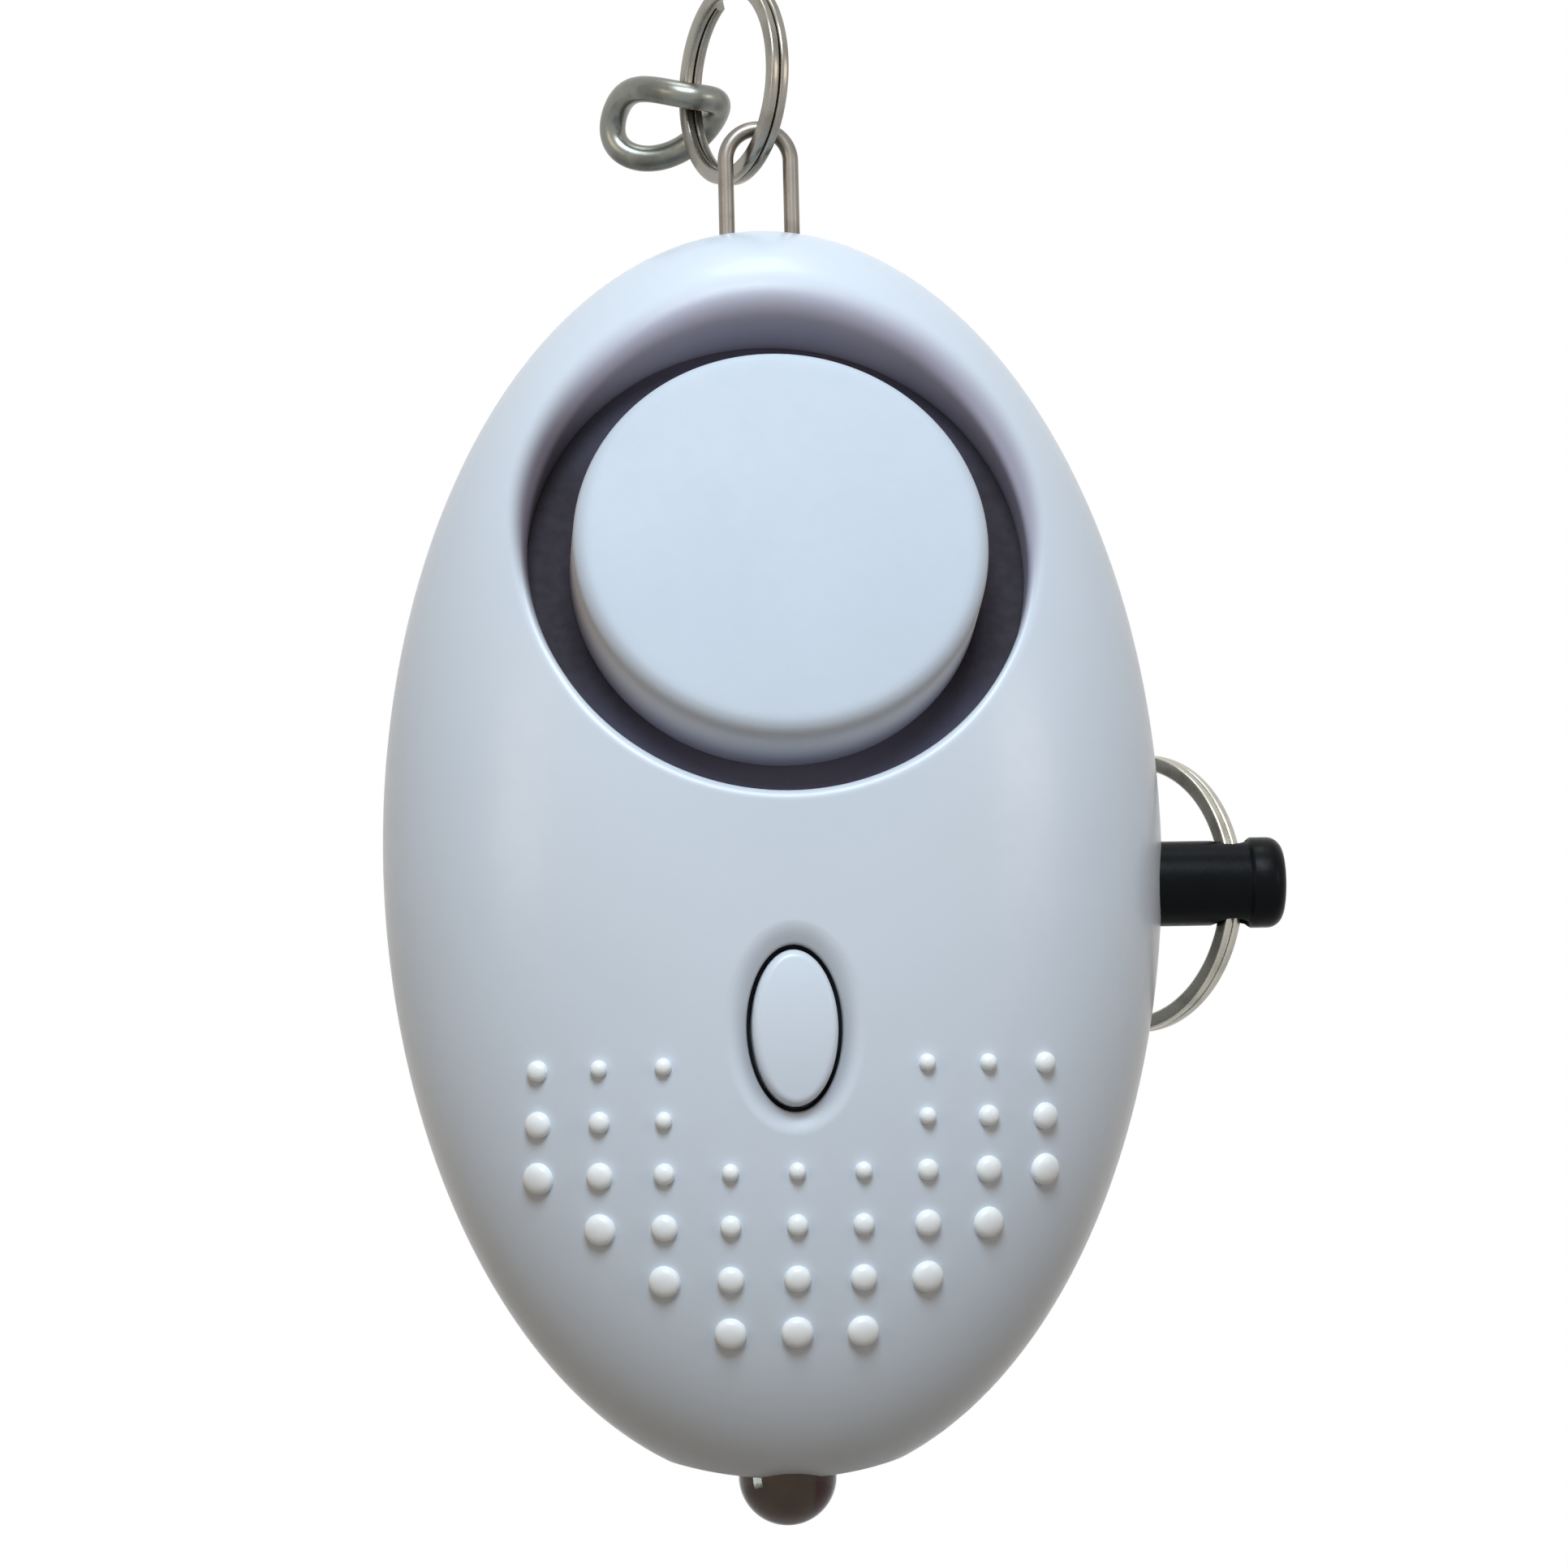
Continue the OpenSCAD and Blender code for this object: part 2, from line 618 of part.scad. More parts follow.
module piezo_plate() { color("#c9a24a") on_siren() translate([0, 0, piezo_rear_w]) cylinder(r = piezo_r, h = piezo_t); }

module piezo_ceramic() {
    color("ivory") on_siren() translate([0, 0, piezo_rear_w - ceramic_t]) cylinder(r = ceramic_r, h = ceramic_t);
}

module piezo_gasket() {
    color("#303034") on_siren() translate([0, 0, gasket_rear_w]) difference() {
        cylinder(r = gasket_r, h = gasket_t);
        translate([0, 0, -1]) cylinder(r = gasket_r - gasket_w, h = gasket_t + 2);
    }
}

// Two wires from the back of the piezo to the board, where they land beside the battery cradle
module piezo_wires() {
    solder_w = piezo_rear_w - ceramic_t - slide_gap;
    lean = [0, cos(siren_tilt), -sin(siren_tilt)] * -solder_w;
    for (i = [0, 1]) {
        start = [-ceramic_r / 2 - i * wire_pitch, siren_y, siren_z] + lean;
        land_x = -cradle_half - cradle_end - wire_d - i * wire_pitch;
        color(i == 0 ? "firebrick" : "#202020") bent_wire([
            start,
            start + [0, wire_rise, -wire_rise / 2],
            [land_x, board_rear_y + wire_rise, wire_joint_z],
            [land_x, board_rear_y, wire_joint_z]], wire_d);
    }
}

module circuit_board() {
    color("#2f6b3a") difference() {
        slab(board_front_y, board_rear_y) intersection() {
            polygon(oval(2 * board_half_w, 2 * board_half_len, outline_sides));
            translate([-half_w, board_top_z - half_len]) square([case_w, half_len]);
        }
        for (p = screw_spots) post(p[0], p[1], board_front_y - 1, board_rear_y + 1, boss_r + slide_gap);
        for (p = peg_spots) post(p[0], p[1], board_front_y - 1, board_rear_y + 1, peg_r + seat_gap);
    }
}

module torch_button() {
    face_y = -bulge_at(0, button_z, front_bulge) - button_proud;
    dome_r = 22;
    color("gainsboro") {
        intersection() {
            translate([0, 0, button_z]) slab(face_y - 1, flange_rear_y) polygon(oval(button_w, button_h));
            translate([0, face_y + dome_r, button_z]) sphere(dome_r, $fn = 160);
        }
        translate([0, 0, button_z]) slab(flange_front_y, flange_rear_y)
            polygon(oval(button_w + 2 * button_flange, button_h + 2 * button_flange));
    }
}

plunger_len = 1.2;

module push_switch() {
    top_y = board_front_y - switch_h + plunger_len - button_travel;
    color("#2b2b2e") difference() {
        translate([-switch_side / 2, top_y, button_z - switch_side / 2])
            cube([switch_side, board_front_y - top_y, switch_side]);
        post(0, button_z, top_y - 1, top_y + 2 * button_travel + slide_gap * 1.5, plunger_r + slide_gap);
    }
}

module switch_plunger() {
    color("#d8d8d8") post(0, button_z, flange_rear_y, flange_rear_y + plunger_len, plunger_r);
}

lamp_tip_z = foot_flat - half_len - lamp_out;
lamp_top_z = lamp_tip_z + lamp_len;

module torch_lamp() {
    color("#dfe6e4") translate([0, 0, lamp_tip_z]) rotate_extrude() difference() {
        union() {
            translate([0, lamp_d / 2]) square([lamp_d / 2, lamp_len - lamp_d / 2]);
            translate([0, lamp_d / 2]) circle(d = lamp_d);
            translate([0, lamp_len - lamp_flange_t]) square([lamp_flange_d / 2, lamp_flange_t]);
        }
        translate([-lamp_d, 0]) square([lamp_d, lamp_len]);
    }
}

module lamp_leads() {
    foot_z = lamp_top_z + 2.2;
    color("silver") for (side = [-1, 1]) bent_wire([
        [side * lead_pitch / 2, 0, lamp_top_z],
        [side * lead_pitch / 2, 0, foot_z],
        [side * lead_pitch / 2, board_rear_y, foot_z]], lead_d);
}

chip_z = board_top_z - chip_h / 2 - wire_land;
chip_x = chip_w / 2 + chip_in - board_half_w;
leg_w = 0.45;

module driver_chip() {
    color("#232326") {
        translate([chip_x - chip_w / 2, board_front_y - chip_t, chip_z - chip_h / 2]) cube([chip_w, chip_t, chip_h]);
        for (i = [0 : 3], end = [-1, 1])
            translate([chip_x + (i - 1.5) * leg_pitch - leg_w / 2, board_front_y - leg_w, chip_z + end * chip_h / 2 - leg_w])
                cube([leg_w, leg_w, 2 * leg_w]);
    }
}

coil_x = -coil_out;
coil_z = cells_z - cell_d / 2 - cradle_side - coil_r - 0.7;

// Ferrite bobbin of the voltage booster, and its winding
module coil_core() {
    color("#3c3a3c") {
        post(coil_x, coil_z, board_rear_y, board_rear_y + coil_flange_t, coil_r);
        post(coil_x, coil_z, board_rear_y, board_rear_y + coil_len, coil_r * 0.45);
        post(coil_x, coil_z, board_rear_y + coil_len - coil_flange_t, board_rear_y + coil_len, coil_r);
    }
}

module boost_coil() {
    color("#9a5a2c") difference() {
        post(coil_x, coil_z, board_rear_y + coil_flange_t + seat_gap, board_rear_y + coil_len - coil_flange_t - seat_gap,
            coil_r * 0.88);
        post(coil_x, coil_z, board_rear_y, board_rear_y + coil_len, coil_r * 0.45 + seat_gap);
    }
}

module drive_transistor() {
    color("#1f1f22") translate([-coil_x, board_rear_y, coil_z]) difference() {
        rotate([-90, 0, 0]) cylinder(r = transistor_r, h = transistor_h);
        translate([-transistor_r - 1, -1, -1.6 * transistor_r]) cube([2 * transistor_r + 2, transistor_h + 2, transistor_r]);
    }
}

module chip_parts() {
    w = small_len * 0.6;
    x0 = board_half_w - small_in;
    color("#b9ab94") for (i = [0 : 3])
        translate([x0 + i * small_pitch, board_front_y - w / 2, chip_z - small_len / 2 + (i % 2) * w / 2])
            cube([w, w / 2, small_len]);
}

module battery_cradle() {
    height = cell_d + 2 * seat_gap + 2 * cradle_side;
    color("#3a3a3e") difference() {
        translate([-cradle_half - cradle_end, board_rear_y, cells_z - height / 2])
            cube([2 * (cradle_half + cradle_end), cells_y - board_rear_y, height]);
        bar(cells_y, cells_z, -cradle_half, cradle_half, cell_d / 2 + seat_gap);
    }
}

module battery_cells() {
    rim = 0.5;
    color("#c8c9cb") for (i = [0 : 2]) {
        x0 = -cells_len / 2 + i * cell_t;
        bar(cells_y, cells_z, x0 + seat_gap / 2, x0 + cell_t - rim, cell_d / 2);
        bar(cells_y, cells_z, x0 + cell_t - rim - 0.1, x0 + cell_t - seat_gap / 2, cell_d / 2 - 1.2);
    }
}

// Flat contact at the positive end of the cells
module battery_plate() {
    color("#cfc7a8") {
        translate([-cradle_half + seat_gap / 2, cells_y - plate_side / 2, cells_z - plate_side / 2])
            cube([contact_t, plate_side, plate_side]);
        bar(cells_y, cells_z, -cradle_half + seat_gap / 2, -cells_len / 2, plate_leaf_w / 2);
    }
}

// Bent leaf contact at the negative end of the cells
module battery_spring() {
    color("#cfc7a8") {
        translate([cradle_half - contact_t - seat_gap / 2, cells_y - plate_side / 2, cells_z - plate_side / 2])
            cube([contact_t, plate_side, plate_side]);
        translate([cells_len / 2 + seat_gap, cells_y - plate_side / 3, cells_z - plate_leaf_w / 2]) {
            cube([contact_room - contact_t, contact_t, plate_leaf_w]);
            cube([contact_t, plate_side * 2 / 3, plate_leaf_w]);
        }
    }
}

module key_bail() {
    foot_z = rim_z(bail_arc_r + bail_foot, wall) - bail_wire / 2 - 2 * slide_gap;
    arc_z = bail_crown_z - bail_arc_r;
    color("#b5ada0") {
        translate([0, 0, arc_z]) rotate([90, 0, 0])
            rotate_extrude(angle = 180) translate([bail_arc_r, 0]) circle(d = bail_wire, $fn = 24);
        for (side = [-1, 1]) {
            translate([side * bail_arc_r, 0, foot_z - bail_wire / 2]) cylinder(d = bail_wire, h = arc_z - foot_z + bail_wire / 2);
            translate([side * bail_arc_r, 0, foot_z]) rotate([0, side * 90, 0]) cylinder(d = bail_wire, h = bail_foot);
        }
    }
}

// Split ring: flat wire wound twice, stepping across in the gap between its ends
ring_step = 6;
jog_start = 318;
jog_len = 36;
wind = 360 + jog_start - 2;

function eased(t) = let (s = min(1, max(0, t))) s * s * (3 - 2 * s);

function split_ring_points(r) = [for (t = [0 : ring_step : wind])
    let (across = -coil_pitch / 2 + coil_pitch * eased((t - jog_start) / jog_len), half = coil_t / 2)
    each [for (c = [[r - ring_band, -half], [r, -half], [r, half], [r - ring_band, half]])
        [c[0] * cos(t), c[0] * sin(t), across + c[1]]]];

// Triangles of a tube of so many rings and sides, open or closed on itself
function tube_faces(rings, sides, closed) = concat(
    [for (k = [0 : rings - (closed ? 1 : 2)]) for (i = [0 : sides - 1])
        let (n = (k + 1) % rings, a = k * sides + i, b = k * sides + (i + 1) % sides,
            c = n * sides + (i + 1) % sides, d = n * sides + i)
        each [[a, b, c], [a, c, d]]],
    closed ? [] : [[for (i = [sides - 1 : -1 : 0]) i], [for (i = [0 : sides - 1]) (rings - 1) * sides + i]]);

module split_ring(r) {
    points = split_ring_points(r);
    polyhedron(points, tube_faces(len(points) / 4, 4, false));
}

module key_ring() {
    color("#b5ada0") translate(hang) rotate([90, 0, -key_ring_turn]) rotate([0, 0, 112]) split_ring(key_ring_r);
}

module pin_ring() {
    centre_r = pin_ring_r - ring_band / 2;
    color("#c4bfae") translate([ring_hole_x, 0, pin_z]) rotate([90, 0, -pin_ring_turn])
        translate([pin_ring_off - centre_r, 0, 0]) rotate([0, 0, 204]) split_ring(pin_ring_r);
}

// Twisted oval chain link, its long axis along X and one end bearing on the origin
link_rings = 28;
link_sides = 8;

function link_point(t) = let (a = (link_len - link_wire) / 2, b = (link_w - link_wire) / 2,
    x = a * cos(t), y = b * sin(t), turn = link_twist * (1 - x / a) / 2)
    [x, y * cos(turn), y * sin(turn)];

function unit(v) = v / norm(v);

function link_points() = [for (k = [0 : link_rings - 1])
    let (t = 360 * k / link_rings, p = link_point(t), along = unit(link_point(t + 2) - link_point(t - 2)),
        side = unit(cross(along, p)), up = cross(side, along))
    each [for (i = [0 : link_sides - 1]) let (a = 360 * i / link_sides)
        p + link_wire / 2 * (cos(a) * side + sin(a) * up)]];

module chain_link() {
    inside = link_wire / 2 + ring_wire_r / cos(link_droop) + slide_gap;
    color("#a8a193") translate(hang) rotate([0, 0, -key_ring_turn]) rotate([0, -link_place, 0])
        translate([-ring_mid_r, 0, 0]) rotate([0, 0, link_turn]) rotate([0, link_place - link_droop, 0])
            translate([inside - (link_len - link_wire) / 2, 0, 0])
                polyhedron(link_points(), tube_faces(link_rings, link_sides, true));
}

module pull_pin() {
    color("#17181b") difference() {
        translate([0, 0, pin_z]) rotate([0, 90, 0]) rotate_extrude() {
            polygon([[0, tip_end_x], [tip_end_r, tip_end_x], [tip_r, barrel_end_x], [pin_r, barrel_end_x],
                [pin_r, pin_end_x - knob_len], [knob_r, pin_end_x - knob_len], [knob_r, pin_end_x - knob_round],
                [0, pin_end_x - knob_round]]);
            translate([0, pin_end_x - knob_round]) square([knob_r - knob_round, knob_round]);
            intersection() {
                translate([knob_r - knob_round, pin_end_x - knob_round]) circle(knob_round);
                translate([0, pin_end_x - 2 * knob_round]) square([knob_r, 2 * knob_round]);
            }
        }
        translate([ring_hole_x, 0, pin_z - through / 2]) cylinder(r = ring_hole_r, h = through);
    }
}

socket_x0 = leaf_pivot_x - leaf_roll_r - socket_wall - seat_gap;
socket_x1 = contact_x + contact_r + slide_gap + socket_wall;

// Open frame on the board that guides the pin's tip and carries the leaves
module pin_socket() {
    depth = leaf_w / 2 + 1 - board_rear_y;
    color("#2e2e31") difference() {
        translate([socket_x0, board_rear_y, pin_z - socket_half_z])
            cube([socket_x1 - socket_x0, depth, 2 * socket_half_z]);
        translate([socket_x0 + socket_wall, board_rear_y + socket_wall, pin_z - through / 2])
            cube([socket_x1 - socket_x0 - 2 * socket_wall, through, through]);
        bar(0, pin_z, socket_x0 - 1, socket_x1 + 1, tip_r + slide_gap);
    }
}

module contact_leaf(side) {
    z = pin_z + side * leaf_off;
    color("#cfc7a8") translate([0, -leaf_w / 2, 0]) {
        post(leaf_pivot_x, z, 0, leaf_w, leaf_roll_r);
        translate([leaf_pivot_x, 0, z - leaf_t / 2]) cube([leaf_len, leaf_w, leaf_t]);
        post(contact_x, z, 0, leaf_w, contact_r);
    }
}

module contact_upper() { contact_leaf(1); }

module contact_lower() { contact_leaf(-1); }

// The part hangs by its key ring: the origin is the middle of that ring
module hung() { translate(-hang) children(); }

hung() front_shell();
hung() rear_shell();
hung() siren_cap();
hung() sound_ring();
hung() piezo_plate();
hung() piezo_ceramic();
hung() piezo_gasket();
hung() piezo_wires();
hung() torch_button();
hung() push_switch();
hung() switch_plunger();
hung() torch_lamp();
hung() lamp_leads();
hung() circuit_board();
hung() driver_chip();
hung() boost_coil();
hung() coil_core();
hung() drive_transistor();
hung() chip_parts();
hung() battery_cradle();
hung() battery_cells();
hung() battery_plate();
hung() battery_spring();
hung() battery_cover();
hung() cover_screw();
hung() case_screws();
hung() key_bail();
hung() key_ring();
hung() chain_link();
hung() pull_pin();
hung() pin_ring();
hung() pin_socket();
hung() contact_upper();
hung() contact_lower();
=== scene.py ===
"""Looks of an egg-shaped personal safety alarm that hangs from a split ring.

Sizes are in millimetres about the middle of the case, with X to the right, Z up and the front towards -Y, as
in the part's own source. A mesh goes into the part's frame, in metres, when its piece is made.
"""

from __future__ import annotations

import logging
from dataclasses import dataclass, replace
from enum import Enum
from math import asin, atan2, copysign, cos, degrees, hypot, pi, radians, sin, sqrt, tau
from typing import Any, Callable, Iterable, Sequence

import bmesh
import bpy
import numpy as np
from mathutils import Matrix, Vector
from mathutils.geometry import delaunay_2d_cdt

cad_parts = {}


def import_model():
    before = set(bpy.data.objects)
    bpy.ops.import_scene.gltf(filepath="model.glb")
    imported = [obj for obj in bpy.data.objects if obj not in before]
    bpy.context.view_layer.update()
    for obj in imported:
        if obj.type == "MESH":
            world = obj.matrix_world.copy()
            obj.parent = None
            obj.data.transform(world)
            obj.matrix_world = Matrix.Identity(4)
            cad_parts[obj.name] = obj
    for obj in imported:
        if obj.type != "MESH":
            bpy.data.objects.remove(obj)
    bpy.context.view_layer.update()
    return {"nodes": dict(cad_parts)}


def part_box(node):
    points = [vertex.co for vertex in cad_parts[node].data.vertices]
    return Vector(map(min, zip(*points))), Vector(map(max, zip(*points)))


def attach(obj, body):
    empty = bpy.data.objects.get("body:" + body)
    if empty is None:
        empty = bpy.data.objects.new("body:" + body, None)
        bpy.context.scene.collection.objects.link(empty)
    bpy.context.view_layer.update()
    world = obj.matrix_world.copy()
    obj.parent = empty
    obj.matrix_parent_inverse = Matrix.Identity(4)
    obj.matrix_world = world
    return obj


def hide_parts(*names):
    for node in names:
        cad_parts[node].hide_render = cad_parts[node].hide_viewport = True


LOG = logging.getLogger("alarm")
MM = 0.001
QUARTER = pi / 2
BOTH = (-1, 1)
# Sides of round things.
ROUND = 96
SMALL_ROUND = 32
# Edges sharper than this stay sharp.
CREASE = radians(32)
# Keep roots and quotients away from zero.
TINY = 1e-6
LEAST_AREA = 0.01
# Sockets of a Mix node's two colours and of the mixed one.
MIX_FIRST, MIX_SECOND, MIX_RESULT = 6, 7, 2
# How near to the skin its points lie, and how closely its faces follow its direction.
ON_SKIN = 2e-5
SAME_WAY = 0.97
Mesh = bpy.types.Mesh
Socket = bpy.types.NodeSocket
Thing = bpy.types.Object
Rgb = tuple[float, float, float]
Triple = tuple[float, float, float]
Spot = tuple[float, float]
Inputs = dict[str | int, Any]
Place = Callable[[float, float, float], Vector]
Outline = Callable[[float], list[Spot]]


class Side(Enum):
    """Half of the case, by the sign of its depth."""

    FRONT = -1
    REAR = 1


class Value:
    """A number that changes over a surface or along a path: a socket that Python's operators work on."""

    def __init__(self, maker: NodeMaker, socket: Socket) -> None:
        """Keeps the socket and the tree that its maths is added to."""
        self.maker = maker
        self.socket = socket

    def maths(self, operation: str, *terms: Value | float) -> Value:
        """Result of one Math node, whose sockets hold this value and then the terms."""
        inputs = dict(enumerate((self, *terms)))
        return self.maker.value(self.maker.node("ShaderNodeMath", inputs, operation=operation))

    def __add__(self, other: Value | float) -> Value:
        """Sum of two values."""
        return self.maths("ADD", other)

    def __sub__(self, other: Value | float) -> Value:
        """Difference of two values."""
        return self.maths("SUBTRACT", other)

    def __rsub__(self, other: float) -> Value:
        """Number less this value."""
        return self.maths("MULTIPLY", -1.0).maths("ADD", other)

    def __mul__(self, other: Value | float) -> Value:
        """Product of two values."""
        return self.maths("MULTIPLY", other)

    def __truediv__(self, other: Value | float) -> Value:
        """Quotient of two values."""
        return self.maths("DIVIDE", other)

    def spread(self, low: float, high: float) -> Value:
        """This value stretched from 0 and 1 to a range."""
        return self * (high - low) + low

    def between(self, low: float, high: float) -> Value:
        """Smooth step of this value.

        Args:
            low: Where the step starts.
            high: Where it ends.

        Returns:
            0 below low, 1 above high, and a smooth rise between them.
        """
        inputs = {"Value": self, "From Min": low, "From Max": high}
        made = self.maker.node("ShaderNodeMapRange", inputs, interpolation_type="SMOOTHSTEP")
        return self.maker.value(made)


class NodeMaker:
    """Adds nodes to a tree."""

    def __init__(self, tree: bpy.types.NodeTree) -> None:
        """Keeps the tree."""
        self.tree = tree

    def fill(self, socket: Socket, given: Any) -> None:
        """Links or sets a socket.

        Args:
            socket: The socket.
            given: A value or another socket to link it to, or its constant.
        """
        given = given.socket if isinstance(given, Value) else given
        if isinstance(given, Socket):
            self.tree.links.new(given, socket)
        else:
            socket.default_value = given

    def node(self, kind: str, inputs: Inputs | None = None, **settings: Any) -> bpy.types.Node:
        """Adds a node, sets it up, and then fills its sockets.

        Args:
            kind: The node's type.
            inputs: What its sockets get, by their names or numbers.
            settings: The node's own properties.

        Returns:
            The new node.
        """
        made = self.tree.nodes.new(kind)
        for key, setting in settings.items():
            setattr(made, key, setting)
        for key, given in (inputs or {}).items():
            self.fill(made.inputs[key], given)
        return made

    def out(self, kind: str, inputs: Inputs | None = None, **settings: Any) -> Socket:
        """First output of a new node."""
        return self.node(kind, inputs, **settings).outputs[0]

    def value(self, node: bpy.types.Node, output: str | int = 0) -> Value:
        """Wraps an output of a node for maths."""
        return Value(self, node.outputs[output])

    def mix(self, share: Value, first: Any, second: Any) -> Socket:
        """Mixes two colours.

        Args:
            share: How much of the second one there is.
            first: A colour, a value or a socket.
            second: A colour, a value or a socket.

        Returns:
            The socket of the mixed colour.
        """
        colours = [(*c, 1.0) if isinstance(c, tuple) else c for c in (first, second)]
        inputs = {"Factor": share, MIX_FIRST: colours[0], MIX_SECOND: colours[1]}
        return self.node("ShaderNodeMix", inputs, data_type="RGBA").outputs[MIX_RESULT]


class Paint(NodeMaker):
    """A material with one Principled shader whose patterns run on Object coordinates, in millimetres."""

    def __init__(self, name: str) -> None:
        """Starts an empty material.

        Args:
            name: The material's name.
        """
        self.material = bpy.data.materials.new(name)
        self.material.use_nodes = True
        super().__init__(self.material.node_tree)
        self.tree.nodes.clear()
        self.shader = self.node("ShaderNodeBsdfPrincipled")
        self.node("ShaderNodeOutputMaterial", {"Surface": self.shader.outputs[0]})
        coordinates = self.node("ShaderNodeTexCoord").outputs["Object"]
        inputs = {"Vector": coordinates, "Scale": 1 / MM}
        self.place = self.out("ShaderNodeVectorMath", inputs, operation="SCALE")

    def fed(self, name: str) -> Value:
        """What one of the shader's sockets is linked to so far."""
        return Value(self, self.shader.inputs[name].links[0].from_socket)

    def offset(self, origin: Triple) -> Socket:
        """Place of the surface from a point."""
        return self.out("ShaderNodeVectorMath", {0: self.place, 1: origin}, operation="SUBTRACT")

    def along_line(self, offset: Socket, line: Triple) -> Value:
        """Distance of an offset along a direction."""
        made = self.node("ShaderNodeVectorMath", {0: offset, 1: line}, operation="DOT_PRODUCT")
        return self.value(made, "Value")

    def noise(self, size: float, detail: float = 3.0, stretch: Triple = (1.0, 1.0, 1.0)) -> Value:
        """Soft noise.

        Args:
            size: Size of its blotches.
            detail: How many finer layers it has.
            stretch: How much longer the blotches are along X, Y and Z.

        Returns:
            The noise, from 0 to 1.
        """
        squeeze = [1 / s for s in stretch]
        mapped = self.out("ShaderNodeMapping", {"Vector": self.place, "Scale": squeeze})
        inputs = {"Vector": mapped, "Scale": 1 / size, "Detail": detail}
        return self.value(self.node("ShaderNodeTexNoise", inputs))

    def along(self, axis: str) -> Value:
        """Coordinate along X, Y or Z."""
        return self.value(self.node("ShaderNodeSeparateXYZ", {0: self.place}), axis)

    def wear(self, **sockets: Any) -> None:
        """Fills the shader's sockets, with _ in a name for a space."""
        for key, given in sockets.items():
            self.fill(self.shader.inputs[key.replace("_", " ")], given)

    def bump(self, height: Value, depth: float, strength: float) -> None:
        """Roughens the surface by a height that runs from 0 to 1, of a depth in millimetres."""
        inputs = {"Height": height, "Distance": depth * MM, "Strength": strength}
        self.wear(Normal=self.out("ShaderNodeBump", inputs))


@dataclass(frozen=True)
class Finish:
    """What a surface is finished with."""

    name: str
    slot: str

    def mixed(self) -> Paint:
        """Mixes the paint."""
        raise NotImplementedError

    def paint(self) -> bpy.types.Material:
        """Makes the material."""
        return self.mixed().material


@dataclass(frozen=True)
class Moulding(Finish):
    """Moulded plastic or rubber: a colour with faint blotches, and a fine grain."""

    base: Rgb
    tone: Rgb
    shine: Spot = (0.3, 0.4)
    blotch: float = 9.0
    grain: float = 0.35
    grain_depth: float = 0.004
    coat: float = 0.0
    gloss: float = 0.5
    cloud_range: Spot = (0.3, 0.7)
    speck_range: Spot = (0.35, 0.75)
    specks_a_blotch: float = 12.0
    speck_share: float = 0.3
    bumpiness: float = 0.5

    def mixed(self) -> Paint:
        """Mixes the plain plastic.

        Returns:
            The paint, which other mouldings add to.
        """
        paint = Paint(self.name)
        clouds = paint.noise(self.blotch).between(*self.cloud_range)
        specks = paint.noise(self.blotch / self.specks_a_blotch).between(*self.speck_range)
        tint = clouds * (1 - self.speck_share) + specks * self.speck_share
        paint.wear(
            Base_Color=paint.mix(tint, self.base, self.tone),
            Roughness=(clouds * 0.5 + specks * 0.5).spread(*self.shine),
            Specular_IOR_Level=self.gloss,
            Coat_Weight=self.coat,
            Coat_Roughness=self.shine[0] / 2,
        )
        paint.bump(paint.noise(self.grain, detail=2.0), self.grain_depth, self.bumpiness)
        return paint


